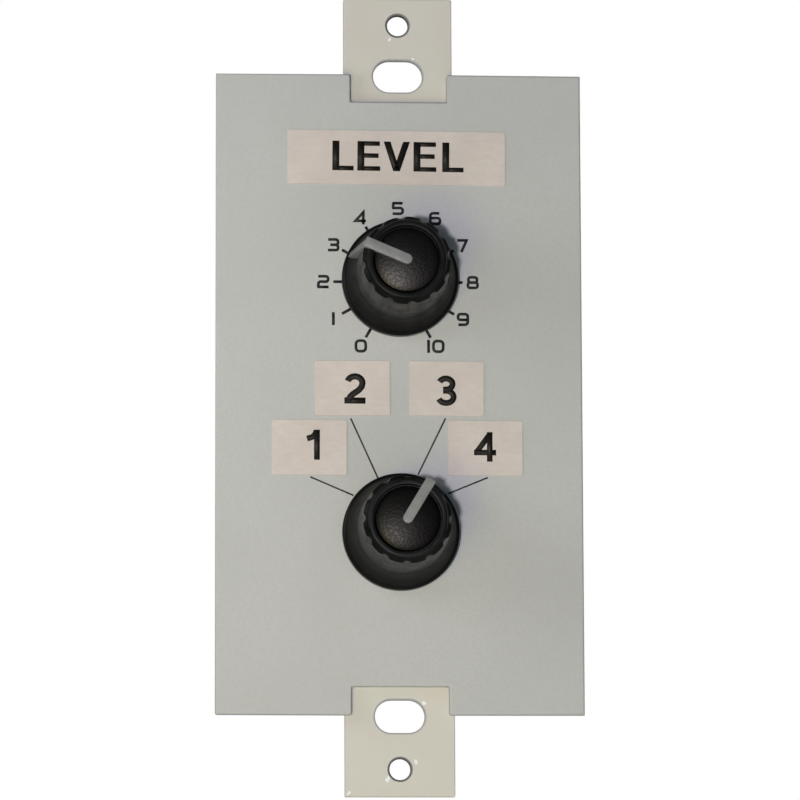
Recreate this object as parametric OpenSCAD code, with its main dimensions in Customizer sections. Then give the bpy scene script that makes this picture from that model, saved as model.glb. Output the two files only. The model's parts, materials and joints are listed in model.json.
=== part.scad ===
// Wall volume and source control: a single-gang strap that carries a printed front panel,
// a level potentiometer, a four-way source switch and a wiring board behind them.
// Everything is drawn face on: x to the right, y up and z towards the viewer, with the
// strap's rear face at z = 0. stand() then turns the drawing upright: front to -Y, up to +Z.

/* [Front panel] */
// Width of the panel
panel_w = 47.3; // [42:0.1:60]
// Height of the panel
panel_h = 83.2; // [82:0.1:88]
// Thickness of the panel
panel_t = 1.6; // [1:0.1:2.5]
// Radius of the panel's corners
panel_corner_r = 0.1; // [0.1:0.1:2]
// Strap left showing beside a slot, in the panel's notch
notch_side = 3.05; // [2:0.05:3.5]
// Strap left showing between a slot and the floor of the notch
notch_floor = 1.6; // [0.8:0.1:2.5]

/* [Mounting strap] */
// Width of the strap
strap_w = 14.1; // [13:0.1:17]
// Thickness of the strap
strap_t = 1.3; // [1.2:0.1:2]
// Radius of the strap's corners
strap_corner_r = 0.2; // [0.1:0.1:2]
// Distance between the tapped holes for the wall plate's screws
plate_screw_pitch = 96.84; // [95:0.01:100]
// Bore of a tapped hole
tapped_d = 2.7; // [2:0.1:3.5]
// Metal beyond the centre of a tapped hole
strap_end = 3.5; // [2.5:0.1:6]
// Distance between the slots for the wall box's screws
box_screw_pitch = 83.34; // [81:0.01:85]
// Length of a slot
slot_l = 6.4; // [5:0.1:8]
// Width of a slot
slot_w = 4.2; // [4.1:0.1:4.8]

/* [Controls] */
// Height of the level control above the strap's centre
level_y = 14.4; // [12:0.1:18]
// Height of the source control above the strap's centre
source_y = -18.4; // [-20:0.1:-14]
// Angle of the level pointer at rest, clockwise from 12 o'clock
level_angle = -67; // [-150:1:150]
// Travel of the level control to each side of 12 o'clock
level_travel = 150; // [120:5:155]
// Angle of the source pointer at rest, clockwise from 12 o'clock
source_angle = 31; // [-90:1:90]
// Angle between two source positions
source_step = 36; // [30, 36, 45]
// Source position at rest
source_rest = 3; // [1:1:4]

/* [Labels] */
// Width of the label tape
tape_w = 7.1; // [5:0.1:8]
// Thickness of the label tape
tape_t = 0.15; // [0.1:0.05:0.3]
// Length of the level label
level_tape_l = 28.2; // [20:0.1:36]
// Height of the level label above the level control
level_label_rise = 16.15; // [14:0.05:18]
// Length of a source label
source_tape_l = 9.6; // [7:0.1:11]
// Distance from the centre line to the inner source labels
label_inset = 1.25; // [0.5:0.05:3]
// Sideways step from an inner to an outer source label
label_stagger = 5.25; // [3:0.05:7]
// Height of the outer source labels above the source control
outer_label_rise = 11.1; // [11:0.1:12]
// Gap between an outer and an inner source label
label_gap = 0.6; // [0.3:0.1:1]
// How far the level label and the outer source labels sit to the left
label_aside = 0.3; // [0:0.05:0.4]

/* [Knobs] */
// Diameter of the skirt
knob_d = 15; // [14.6:0.1:18]
// Height of the knob
knob_h = 15.5; // [14:0.1:20]
// Gap between the knob and the panel
knob_gap = 1; // [0.5:0.1:1.5]
// Height of the skirt's rim
rim_h = 1.7; // [1.2:0.1:2.2]
// Rounding of the skirt's rim
rim_round = 0.35; // [0.1:0.05:0.5]
// Height at which the flare of the skirt meets the grip
flare_top = 4.4; // [3.6:0.1:6]
// Diameter of the grip above the flare
grip_d = 11.9; // [11.6:0.1:13]
// Diameter of the grip's top edge
crown_d = 11.2; // [10.8:0.1:12]
// Diameter of the ring around the cap
ring_d = 9.9; // [9.6:0.1:10.6]
// Height of the ring above the grip's top edge
ring_h = 0.9; // [0.9:0.1:1.5]
// Rise of the sloping edge from the grip to the ring
ledge_rise = 0.5; // [0.2:0.1:0.5]
// Rounding of the ring
ring_round = 0.15; // [0.1:0.05:0.3]
// Number of finger scoops round the grip
scoop_n = 12; // [8:1:14]
// Diameter of a scoop's cutter
scoop_d = 1.7; // [1.2:0.1:3]
// Depth of a scoop at the grip's top edge
scoop_depth = 0.3; // [0.15:0.05:0.35]
// Lean of a scoop
scoop_lean = 6; // [6:0.5:10]
// Diameter of the cap
cap_d = 8.3; // [7:0.1:8.6]
// Thickness of the cap
cap_t = 1.2; // [0.8:0.1:2]
// Height of the cap's dome
cap_dome = 0.5; // [0.1:0.05:0.6]
// Groove around the cap
cap_groove = 0.15; // [0.1:0.05:0.3]
// Width of the pointer
pointer_w = 1.3; // [0.8:0.05:2]
// Height of the pointer above the ring
pointer_rise = 0.3; // [0.1:0.05:0.6]
// Reach of the pointer's top face
pointer_reach = 5.75; // [5.4:0.05:6]
// Thickness of the pointer's fin down the grip
pointer_fin = 0.75; // [0.5:0.05:0.9]

/* [Bushings and nuts] */
// Diameter of a bushing's thread
bushing_d = 7; // [6.6:0.1:8]
// Clearance of a bushing in the strap and the panel
bushing_clear = 0.1; // [0.05:0.05:0.3]
// Thread showing beyond the nut
thread_spare = 1.6; // [0.5:0.1:3]
// Clearance of the thread in its nut and washer
thread_clear = 0.05; // [0.02:0.01:0.1]
// Size of a nut across its flats
nut_af = 10; // [9.5:0.1:10.4]
// Thickness of a nut
nut_t = 2; // [1.5:0.1:2.5]
// Diameter of a washer
washer_d = 11; // [10:0.1:11.5]
// Thickness of a washer
washer_t = 0.5; // [0.3:0.1:0.8]
// Thickness of the plate behind the strap that holds a bushing
plate_t = 1.2; // [1:0.1:1.6]
// Width of the lug that stops a plate turning in the strap
lug_w = 2.6; // [2:0.1:3.4]
// Thickness of that lug
lug_t = 1; // [0.8:0.1:1.2]
// Distance of that lug from the control's axis
lug_reach = 6.3; // [5.8:0.1:6.4]
// Diameter of a shaft
shaft_d = 6; // [5:0.1:6]
// Running clearance of a shaft in its bushing, on the radius
shaft_clear = 0.04; // [0.02:0.01:0.08]
// Depth of the flat on a shaft's end
shaft_flat = 1.5; // [0.8:0.1:2]
// Reach of a shaft inside its knob
shaft_reach = 11; // [9:0.1:12.5]
// Diameter of the driving end of a shaft
driver_d = 4.4; // [3.6:0.1:4.8]
// Width of that driving end across its two flats
driver_af = 3.2; // [2.6:0.1:3.6]

/* [Level potentiometer] */
// Diameter of the can
can_d = 16.5; // [16.4:0.1:18]
// Wall of the can
can_wall = 0.4; // [0.3:0.05:0.6]
// Thickness of the shaft's collar
collar_t = 0.8; // [0.6:0.1:1.5]
// Diameter of the shaft's collar
collar_d = 8.4; // [7.6:0.1:8.6]
// Diameter of the wiper's carrier
carrier_d = 12.6; // [12.2:0.1:13]
// Thickness of a contact carrier
carrier_t = 1.8; // [1.2:0.1:3]
// Thickness of a contact leaf
leaf_t = 0.2; // [0.15:0.05:0.3]
// Room between a carrier and the contacts under it
contact_room = 1.3; // [1:0.1:2]
// Radius of the middle of the resistance track
track_r = 5.3; // [5.2:0.05:5.4]
// Radius of the middle of the collector ring
collector_r = 3.3; // [3.2:0.05:3.4]
// Width of the resistance track and of the collector ring
track_w = 1.2; // [1:0.1:1.3]
// Thickness of the resistance track
track_t = 0.1; // [0.05:0.05:0.2]
// Thickness of an insulating wafer
wafer_t = 1.2; // [0.8:0.1:2]

/* [Source switch] */
// Diameter of the housing
housing_d = 17.6; // [17.4:0.1:20]
// Clearance between a rivet's head and the housing
rivet_clear = 0.2; // [0.1:0.05:0.6]
// Diameter of a rivet
rivet_d = 1.6; // [1.2:0.1:2]
// Thickness of the detent hub
hub_t = 3.4; // [3.2:0.1:4.5]
// Diameter of the detent hub
hub_d = 11.8; // [11.4:0.1:12]
// Diameter of a detent ball
ball_d = 2.4; // [2:0.1:2.6]
// Clearance between a ball at rest and the crests of the detent ring
ball_clear = 0.15; // [0.1:0.05:0.3]
// Inner diameter of the detent ring, over its crests
crest_d = 12.7; // [12.6:0.1:13]
// Depth of a detent
detent_depth = 0.3; // [0.2:0.05:0.5]
// Wire diameter of the detent spring
spring_wire = 0.3; // [0.2:0.05:0.3]
// Outer diameter of the detent spring
spring_d = 2; // [1.7:0.1:2]
// Turns of the detent spring
spring_turns = 8; // [5:1:8]
// Radius of the ring of source contacts
pad_r = 5.4; // [5.2:0.05:5.5]
// Diameter of a source contact
pad_d = 1.8; // [1.4:0.1:2]
// Thickness of the fixed contacts
pad_t = 0.2; // [0.1:0.05:0.3]
// Thickness of the rear cover
cover_t = 1; // [0.8:0.1:2]

/* [Wiring board] */
// Width of the board
board_w = 34; // [30:0.5:44]
// Thickness of the board
board_t = 1.6; // [1:0.1:2.4]
// Radius of the board's corners
board_corner_r = 1.5; // [0.5:0.1:3]
// Board left beyond a terminal block
board_edge = 0.8; // [0.4:0.1:3]
// Diameter of a contact pin
pin_d = 0.9; // [0.7:0.05:1]
// Clearance of a pin in the board
pin_clear = 0.12; // [0.08:0.02:0.2]
// Length of a pin that shows past the board
pin_tail = 1.2; // [0.8:0.1:1.5]

/* [Terminal blocks] */
// Distance between two terminals
terminal_pitch = 5; // [4.8:0.1:5.6]
// Height of a block above the board
block_h = 10; // [9.6:0.1:13]
// Depth of a block from its wire entries to its back
block_d = 8; // [7.6:0.1:10]
// Wall beside a wire entry
block_wall = 0.6; // [0.5:0.05:0.7]
// Distance of the level block from the level control
level_block_rise = 9.6; // [9:0.1:12]
// Distance of the source block from the source control
source_block_drop = 12.6; // [12.4:0.1:15]
// Head diameter of a terminal screw
screw_head_d = 3.6; // [3:0.1:3.7]
// Thread diameter of a terminal screw
screw_d = 2.4; // [2:0.1:2.4]
// Wall of a wire clamp
clamp_wall = 0.6; // [0.5:0.05:0.7]

/* [Hidden] */
$fn = 72;
// Overshoot of every cut past the face that it leaves by
over = 0.2;
// Clearance between pieces that move together and are fitted by hand
fit = 0.03;
// Clearance between flat faces that pass each other
run_gap = 0.1;
// Clearance of a stop at the end of a travel, in degrees
stop_play = 0.5;
// Half the angle of a stop lug
lug_half = 12;

// Heights of the stack in front of the strap's rear face
panel_front = strap_t + panel_t;
nut_low = panel_front + washer_t;
bushing_end = nut_low + nut_t + thread_spare;
knob_base = panel_front + knob_gap;
shaft_top = knob_base + shaft_reach;
bushing_hole_d = bushing_d + 2 * bushing_clear;
shaft_r = shaft_d / 2;
strap_l = plate_screw_pitch + 2 * strap_end;
notch_w = slot_l + 2 * notch_side;
notch_y = box_screw_pitch / 2 - slot_w / 2 - notch_floor;
lug_short = 0.2;
lug_h = strap_t - lug_short;
lug_clear = 0.1;

// Knob, measured from its own base
skirt_r = knob_d / 2;
shoulder_r = skirt_r - rim_round;
grip_r = grip_d / 2;
crown_r = crown_d / 2;
crown_z = knob_h - ring_h;
ring_r = ring_d / 2;
flare_power = 1.35;
flare_steps = 10;
cap_r = cap_d / 2;
recess_z = knob_h - cap_t;
nut_room = 0.4;
nut_cavity_r = nut_af / 2 / cos(30) + nut_room;
nut_cavity_h = nut_low + nut_t - knob_base + nut_room;
bushing_cavity_r = bushing_d / 2 + nut_room;
bushing_cavity_h = bushing_end - knob_base + nut_room;
pointer_foot_rise = 0.6;
pointer_foot_proud = 0.05;
pointer_foot_z = rim_h + pointer_foot_rise;
pointer_foot_r = shoulder_r + pointer_foot_proud;

// Potentiometer, behind the strap
can_r = can_d / 2;
can_lip = 0.75;
can_lip_t = 0.4;
can_front = -0.1;
cup_clear = 0.05;
cup_r = can_r - can_wall - cup_clear;
cup_wall = 0.5;
collar_front = -plate_t - run_gap;
carrier_front = collar_front - collar_t;
carrier_rear = carrier_front - carrier_t;
track_front = carrier_rear - contact_room;
level_wafer_front = track_front - track_t;
level_wafer_rear = level_wafer_front - wafer_t;
post_half = 180 - level_travel - lug_half - stop_play;
post_low = carrier_front + run_gap;
post_clear = 0.35;
post_t = 1.2;
post_r_in = collar_d / 2 + post_clear;
post_r_out = post_r_in + post_t;
lug_tip_clear = 0.3;
lug_root = 0.3;
finger_w = 0.8;
track_lap = 6;
track_end = level_travel + track_lap;
end_pad_out = 0.9;
level_pin_r = track_r + end_pad_out;
pin_lap = 2;
level_pin_half = level_travel - pin_lap;
collector_tail = 0.1;
collector_pin_r = track_r + collector_tail;

// Source switch, behind the strap
housing_r = housing_d / 2;
housing_wall = 0.7;
ear_d = 4;
ear_clear = 0.05;
rivet_head_t = 0.5;
rivet_head_d = 2 * rivet_d;
rivet_x = housing_r + rivet_clear + rivet_head_d / 2;
hub_front = -plate_t - run_gap;
hub_rear = hub_front - hub_t;
ball_z = hub_front - hub_t / 2;
ball_r = ball_d / 2;
crest_r = crest_d / 2;
ball_place = crest_r - ball_clear - ball_r;
ball_slack = 0.05;
ball_bore_r = ball_r + ball_slack;
detent_ease = 0.3;
detent_cutter_r = ball_r + detent_ease;
ring_seat_r = housing_r - housing_wall;
detent_n = round(360 / source_step);
contact_angle = (source_rest - 2.5) * source_step;
rotor_rear = hub_rear - carrier_t;
rotor_inset = 0.15;
rotor_r = crest_r - rotor_inset;
ring_ledge = 0.7;
room_r = ring_seat_r - ring_ledge;
rotor_lug_room = 0.4;
rotor_lug_r = room_r - rotor_lug_room;
rotor_lug_root = 0.5;
rotor_lug_drop = 0.3;
rib_room = 0.35;
rib_r_in = rotor_r + rib_room;
rib_half = 5;
rib_angle = 1.5 * source_step + lug_half + stop_play + rib_half;
pad_front = rotor_rear - contact_room;
source_wafer_front = pad_front - pad_t;
source_wafer_rear = source_wafer_front - wafer_t;
switch_depth = -source_wafer_rear + cover_t;
wafer_ledge = 0.2;
wafer_seat_r = room_r + wafer_ledge;
ear_short = 0.6;
ear_rear = source_wafer_rear + ear_short;
common_r = 3;
common_w = 1.3;
spring_slack = 0.1;
spring_l = 2 * (ball_place - ball_r) - spring_slack;
spring_rings = 8;
spring_sides = 6;

// Wiring board and terminal blocks
board_front = -switch_depth;
board_rear = board_front - board_t;
pin_r = pin_d / 2;
tail_z = board_rear - pin_tail;
level_ways = 3;
source_ways = 5;
level_block_y = level_y + level_block_rise;
source_block_y = source_y - source_block_drop;
board_top = level_block_y + block_d / 2 + board_edge;
board_bottom = source_block_y - block_d / 2 - board_edge;
leg_back = 0.5;
leg_t = 1;
leg_y = -block_d / 2 + leg_back + leg_t / 2;
chamber_low = 1.6;
chamber_h = 5;
chamber_high = chamber_low + chamber_h;
head_seat_t = 0.6;
head_seat = chamber_high + head_seat_t;
bar_t = 0.8;
bar_w = 2;
clamp_gap = 0.15;
clamp_w = terminal_pitch - 2 * block_wall - 2 * clamp_gap;
clamp_play = 0.2;
clamp_low = chamber_low + clamp_play;
clamp_high = chamber_high - clamp_play;
clamp_back = 0.6;
clamp_d = block_d - 2 * leg_back - 2 * leg_t - clamp_back;
bar_drop = 0.4;
bar_high = clamp_high - clamp_wall - bar_drop;
bar_front = clamp_d / 2;
head_h = 1.8;
driver_slot = 0.6;

// Colours of the pieces
panel_grey = "#b2b3ad";
strap_cream = "#c6c0b2";
tape_beige = "#c8bcb1";
knob_black = "#262624";
pointer_grey = "#989a95";
steel = "#a3a6a8";
zinc = "#b4b5b3";
brass = "#b89a5c";
carbon = "#1c1b1a";
phenolic = "#7b5433";
nylon = "#d8d3c4";
housing_black = "#202123";
board_green = "#2d5a3c";
block_green = "#3d7f52";

// Place on a circle, at an angle clockwise from 12 o'clock
function place(angle, r) = [r * sin(angle), r * cos(angle)];

level_pin_places = [
  place(-level_pin_half, level_pin_r),
  place(180, collector_pin_r),
  place(level_pin_half, level_pin_r)
];
source_pin_places = concat(
  [for (i = [1:4]) place((i - 2.5) * source_step, pad_r)],
  [place(180, common_r)]
);

// Placing

// Turns the face-on drawing upright, with its front to -Y
module stand() {
  rotate([90, 0, 0]) children();
}

module at_level(z = 0) {
  stand() translate([0, level_y, z]) children();
}

module at_source(z = 0) {
  stand() translate([0, source_y, z]) children();
}

// Turns a piece that points to 12 o'clock clockwise
module clock(angle) {
  rotate([0, 0, -angle]) children();
}

// Terminal blocks stand on the board's rear face, with their wire entries to the outside
module on_board(y, turn) {
  stand() translate([0, y, board_rear]) rotate([0, 0, turn]) mirror([0, 0, 1]) children();
}

module at_ways(ways) {
  for (i = [0:ways - 1]) translate([(i - (ways - 1) / 2) * terminal_pitch, 0, 0]) children();
}

// Shapes that repeat

module rounded_outline(w, h, r) {
  square([w - 2 * r, h], center = true);
  square([w, h - 2 * r], center = true);
  for (x = [-1, 1], y = [-1, 1]) translate([x * (w / 2 - r), y * (h / 2 - r)]) circle(r = r);
}

module slot_outline(l, w) {
  square([l - w, w], center = true);
  for (x = [-1, 1]) translate([x * (l - w) / 2, 0]) circle(d = w);
}

module rod(r, low, high) {
  translate([0, 0, low]) cylinder(r = r, h = high - low);
}

module flat_ring(outer_r, inner_r, low, high) {
  difference() {
    rod(outer_r, low, high);
    rod(inner_r, low - over, high + over);
  }
}

// Part of a ring, centred on 12 o'clock
module arc_block(outer_r, inner_r, half, low, high) {
  rotate([0, 0, 90 - half])
    rotate_extrude(angle = 2 * half)
      translate([inner_r, low]) square([outer_r - inner_r, high - low]);
}

// Rod with two flats, which drives what is fitted on it
module driver(r, af, low, high) {
  intersection() {
    rod(r, low, high);
    translate([-r - over, -af / 2, low]) cube([2 * r + 2 * over, af, high - low]);
  }
}

// Rod with one flat on the side away from 12 o'clock
module flatted_rod(r, flat, low, high) {
  difference() {
    rod(r, low, high);
    translate([-r - over, -r - over, low - over])
      cube([2 * r + 2 * over, flat + over, high - low + 2 * over]);
  }
}

// Outline in the plane of y and z, given a thickness along x
module upright(w) {
  translate([-w / 2, 0, 0]) rotate([90, 0, 90]) linear_extrude(w) children();
}

// Panel, strap and labels

module front_panel() {
  color(panel_grey) stand() translate([0, 0, strap_t]) linear_extrude(panel_t) difference() {
    rounded_outline(panel_w, panel_h, panel_corner_r);
    for (side = [0, 1]) mirror([0, side]) translate([-notch_w / 2, notch_y]) square([notch_w, panel_h]);
    for (y = [level_y, source_y]) translate([0, y]) circle(d = bushing_hole_d);
  }
}

module mounting_strap() {
  color(strap_cream) stand() linear_extrude(strap_t) difference() {
    rounded_outline(strap_w, strap_l, strap_corner_r);
    for (side = [-1, 1]) translate([0, side * plate_screw_pitch / 2]) circle(d = tapped_d);
    for (side = [-1, 1]) translate([0, side * box_screw_pitch / 2]) slot_outline(slot_l, slot_w);
    for (y = [level_y, source_y]) translate([0, y]) {
      circle(d = bushing_hole_d);
      translate([0, lug_reach]) square([lug_w + 2 * lug_clear, lug_t + 2 * lug_clear], center = true);
    }
  }
}

module tape_label(x, y, l) {
  tape_corner_r = 0.3;
  color(tape_beige) stand() translate([x, y, panel_front]) linear_extrude(tape_t)
    rounded_outline(l, tape_w, tape_corner_r);
}

module level_label() {
  tape_label(-label_aside, level_y + level_label_rise, level_tape_l);
}

module source_label(position) {
  side = position < 3 ? -1 : 1;
  outer = position == 1 || position == 4;
  x = label_inset + source_tape_l / 2 + (outer ? label_stagger : 0);
  y = source_y + outer_label_rise + (outer ? 0 : tape_w + label_gap);
  tape_label(side * x - (outer ? label_aside : 0), y, source_tape_l);
}

// Knobs

// Outline point of the skirt's flare, from the rim at s = 0 to the grip at s = 1
function flare(s) = [
  grip_r + (shoulder_r - grip_r) * pow(1 - s, flare_power),
  rim_h + s * (flare_top - rim_h)
];

module knob_blank() {
  rotate_extrude() polygon(concat(
    [[0, 0], [shoulder_r, 0], [skirt_r, rim_round], [skirt_r, rim_h - rim_round]],
    [for (i = [0:flare_steps]) flare(i / flare_steps)],
    [[crown_r, crown_z], [ring_r, crown_z + ledge_rise]],
    [[ring_r, knob_h - ring_round], [ring_r - ring_round, knob_h], [0, knob_h]]
  ));
}

// Scoops lean outwards towards the skirt, so that they fade out down the grip.
// The pointer stands in the place of the first one.
module finger_scoops() {
  scoop_l = crown_z - flare_top;
  for (i = [1:scoop_n - 1])
    clock(360 / scoop_n * i)
      translate([0, crown_r - scoop_depth + scoop_d / 2, crown_z])
        rotate([scoop_lean, 0, 0]) translate([0, 0, -scoop_l]) cylinder(d = scoop_d, h = 2 * scoop_l);
}

// Bar across the top, with a fin down the grip to the skirt
module pointer_shape() {
  top = knob_h + pointer_rise;
  upright(pointer_w) polygon([
    [0, recess_z], [0, top], [pointer_reach, top], [pointer_foot_r, pointer_foot_z],
    [pointer_reach - pointer_fin, pointer_foot_z], [pointer_reach - pointer_fin, recess_z]
  ]);
  rod(pointer_w / 2, recess_z, top);
}

module knob_shape() {
  bore_end = shaft_reach + nut_room;
  difference() {
    knob_blank();
    finger_scoops();
    rod(cap_r + cap_groove, recess_z, knob_h + over);
    pointer_shape();
    rod(nut_cavity_r, -over, nut_cavity_h);
    rod(bushing_cavity_r, 0, bushing_cavity_h);
    flatted_rod(shaft_r + fit, shaft_flat, 0, bore_end);
  }
}

module cap_shape() {
  dome_steps = 8;
  difference() {
    translate([0, 0, recess_z]) rotate_extrude() polygon(concat(
      [[0, 0]],
      [for (i = [dome_steps:-1:0]) let (share = i / dome_steps)
        [cap_r * share, cap_t - cap_dome * share * share]]
    ));
    pointer_shape();
  }
}

module level_knob() {
  color(knob_black) at_level(knob_base) clock(level_angle) knob_shape();
}

module level_knob_cap() {
  color(knob_black) at_level(knob_base) clock(level_angle) cap_shape();
}

module level_knob_pointer() {
  color(pointer_grey) at_level(knob_base) clock(level_angle) pointer_shape();
}

module source_knob() {
  color(knob_black) at_source(knob_base) clock(source_angle) knob_shape();
}

module source_knob_cap() {
  color(knob_black) at_source(knob_base) clock(source_angle) cap_shape();
}

module source_knob_pointer() {
  color(pointer_grey) at_source(knob_base) clock(source_angle) pointer_shape();
}

// Nuts, washers and bushings

module nut_shape() {
  difference() {
    translate([0, 0, nut_low]) cylinder(d = nut_af / cos(30), h = nut_t, $fn = 6);
    rod(bushing_d / 2 + thread_clear, nut_low - over, nut_low + nut_t + over);
  }
}

module washer_shape() {
  flat_ring(washer_d / 2, bushing_d / 2 + thread_clear, panel_front, nut_low);
}

module level_nut() {
  color(steel) at_level() nut_shape();
}

module level_washer() {
  color(steel) at_level() washer_shape();
}

module source_nut() {
  color(steel) at_source() nut_shape();
}

module source_washer() {
  color(steel) at_source() washer_shape();
}

// Threaded tube through the strap and the panel, with the lug that enters the strap
module bushing_shape() {
  rod(bushing_d / 2, -plate_t, bushing_end);
  translate([-lug_w / 2, lug_reach - lug_t / 2, -plate_t]) cube([lug_w, lug_t, plate_t + lug_h]);
}

module bushing_bore() {
  rod(shaft_r + shaft_clear, -plate_t - over, bushing_end + over);
}

// Cast cup: a plate with the bushing, a sleeve down to the wafer, and the stop post
module level_bushing() {
  rebate = can_front - can_lip_t;
  color(zinc) at_level() difference() {
    union() {
      bushing_shape();
      rod(can_r - can_lip - can_wall, -plate_t, 0);
      rod(cup_r, -plate_t, rebate);
      flat_ring(cup_r, cup_r - cup_wall, level_wafer_front, -plate_t + over);
      clock(180) arc_block(post_r_out, post_r_in, post_half, post_low, -plate_t + over);
    }
    bushing_bore();
  }
}

module source_bushing() {
  color(zinc) at_source() difference() {
    union() {
      bushing_shape();
      translate([0, 0, -plate_t]) linear_extrude(plate_t) eared_outline();
    }
    bushing_bore();
    for (side = [-1, 1]) translate([side * rivet_x, 0, 0])
      rod(rivet_d / 2 + ear_clear, -plate_t - over, over);
  }
}

// Shafts

module shaft_shape(low) {
  rod(shaft_r, low, bushing_end);
  flatted_rod(shaft_r, shaft_flat + fit, bushing_end, shaft_top);
}

// The collar's lug meets the stop post at each end of the travel
module level_shaft() {
  color(steel) at_level() clock(level_angle) {
    shaft_shape(collar_front);
    rod(collar_d / 2, carrier_front, collar_front);
    arc_block(post_r_out - lug_tip_clear, collar_d / 2 - lug_root, lug_half, carrier_front, collar_front);
    driver(driver_d / 2, driver_af, carrier_rear, carrier_front);
  }
}

// Cross-bored behind the bushing for the detent spring
module source_shaft() {
  color(steel) at_source() clock(source_angle) difference() {
    union() {
      shaft_shape(hub_rear);
      clock(contact_angle - source_angle) driver(driver_d / 2, driver_af, rotor_rear, hub_rear);
    }
    clock(contact_angle - source_angle) cross_bore(shaft_r);
  }
}

// Inside the level potentiometer

// Leaf on a carrier's rear face with two fingers that reach back to the contacts
module wiper_shape(carrier_low, contact_high, finger_rs) {
  leaf_low = carrier_low - leaf_t;
  tip_low = contact_high + run_gap;
  leaf_in = min(finger_rs) - finger_w;
  leaf_out = max(finger_rs) + finger_w / 2;
  leaf_back = -2.9;
  leaf_front = -1.4;
  foot_front = 0.6;
  foot_back = -0.1;
  translate([leaf_back, leaf_in, leaf_low]) cube([leaf_front - leaf_back, leaf_out - leaf_in, leaf_t]);
  for (r = finger_rs) translate([0, r + finger_w / 2, 0]) rotate([90, 0, 0]) linear_extrude(finger_w)
    polygon([
      [leaf_front - leaf_t, carrier_low], [leaf_front, carrier_low],
      [foot_back, tip_low + leaf_t], [foot_front, tip_low + leaf_t],
      [foot_front, tip_low], [foot_back - leaf_t, tip_low], [leaf_front - leaf_t, leaf_low]
    ]);
}

module level_carrier() {
  color(nylon) at_level() clock(level_angle) difference() {
    rod(carrier_d / 2, carrier_rear, carrier_front);
    driver(driver_d / 2 + fit, driver_af + 2 * fit, carrier_rear - over, carrier_front + over);
  }
}

module level_wiper() {
  color(brass) at_level() clock(level_angle)
    wiper_shape(carrier_rear, track_front, [track_r, collector_r]);
}

module level_wafer() {
  color(phenolic) at_level() difference() {
    rod(cup_r, level_wafer_rear, level_wafer_front);
    level_pin_holes(level_wafer_rear, level_wafer_front, fit);
  }
}

module level_pin_holes(low, high, clear) {
  for (p = level_pin_places) translate(p) rod(pin_r + clear, low - over, high + over);
}

// Horseshoe of resistance material with its end pads, and the collector with its tail
module level_track() {
  pad_end_r = 0.8;
  tail_w = 1.4;
  color(carbon) at_level() difference() {
    union() {
      arc_block(track_r + track_w / 2, track_r - track_w / 2, track_end, level_wafer_front, track_front);
      for (i = [0, 2]) translate(level_pin_places[i]) rod(pad_end_r, level_wafer_front, track_front);
      flat_ring(collector_r + track_w / 2, collector_r - track_w / 2, level_wafer_front, track_front);
      translate([-tail_w / 2, -collector_pin_r - tail_w / 2, level_wafer_front])
        cube([tail_w, collector_pin_r - collector_r + tail_w / 2, track_t]);
    }
    level_pin_holes(level_wafer_front, track_front, fit);
  }
}

// Each pin is shouldered behind the wafer and runs on through the board
module level_pins() {
  shoulder_t = 0.4;
  shoulder_pin_r = 0.75;
  color(brass) at_level() for (p = level_pin_places) translate(p) {
    rod(pin_r, tail_z, track_front);
    rod(shoulder_pin_r, level_wafer_rear - shoulder_t, level_wafer_rear);
  }
}

// Drawn shell, rolled in over the cup's plate at the front and over the wafer at the rear
module level_can() {
  inner_r = can_r - can_wall;
  lip_r = can_r - can_lip - can_wall + cup_clear;
  color(steel) at_level() rotate_extrude() polygon([
    [lip_r, can_front], [can_r, can_front],
    [can_r, level_wafer_rear - can_lip_t], [lip_r, level_wafer_rear - can_lip_t],
    [lip_r, level_wafer_rear], [inner_r, level_wafer_rear],
    [inner_r, can_front - can_lip_t], [lip_r, can_front - can_lip_t]
  ]);
}

// Inside the source switch

module eared_outline() {
  circle(r = housing_r);
  slot_outline(2 * rivet_x + ear_d, ear_d);
}

module cross_bore(r) {
  translate([0, r + over, ball_z]) rotate([90, 0, 0]) cylinder(r = ball_bore_r, h = 2 * (r + over));
}

module source_detent_hub() {
  color(nylon) at_source() clock(contact_angle) difference() {
    rod(hub_d / 2, hub_rear, hub_front);
    rod(shaft_r + fit, hub_rear - over, hub_front + over);
    cross_bore(hub_d / 2);
  }
}

module source_detent_ring() {
  color(zinc) at_source() difference() {
    rod(ring_seat_r - cup_clear, hub_rear, -plate_t);
    rod(crest_r, hub_rear - over, -plate_t + over);
    for (i = [0:detent_n - 1])
      clock(contact_angle + i * source_step)
        translate([0, crest_r + detent_depth - detent_cutter_r, 0])
          rod(detent_cutter_r, hub_rear - over, -plate_t + over);
  }
}

module source_detent_balls() {
  color(steel) at_source() clock(contact_angle)
    for (side = [-1, 1]) translate([0, side * ball_place, ball_z]) sphere(r = ball_r);
}

// Compression spring across the hub, wound as one tube between the two balls
spring_coil_r = (spring_d - spring_wire) / 2;
spring_steps = spring_turns * spring_rings;
function spring_turn(i) = 360 * i / spring_rings;
function spring_radial(i) = [cos(spring_turn(i)), 0, sin(spring_turn(i))];
function spring_point(i) =
  spring_coil_r * spring_radial(i) + [0, spring_l * (i / spring_steps - 0.5), 0];
function spring_tangent(i) =
  let (
    run = spring_l / spring_turns,
    way = 2 * PI * spring_coil_r,
    span = sqrt(run * run + way * way)
  ) [-sin(spring_turn(i)) * way, run, cos(spring_turn(i)) * way] / span;
function spring_ring(i) = [
  for (k = [0:spring_sides - 1])
    let (turn = 360 * k / spring_sides, side = cross(spring_tangent(i), spring_radial(i)))
      spring_point(i) + spring_wire / 2 * (cos(turn) * spring_radial(i) + sin(turn) * side)
];
spring_gap = min([
  for (i = [0:spring_steps], j = [0:spring_steps])
    if (j - i > spring_rings / 2) norm(spring_point(i) - spring_point(j)) - spring_wire
]);
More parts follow.
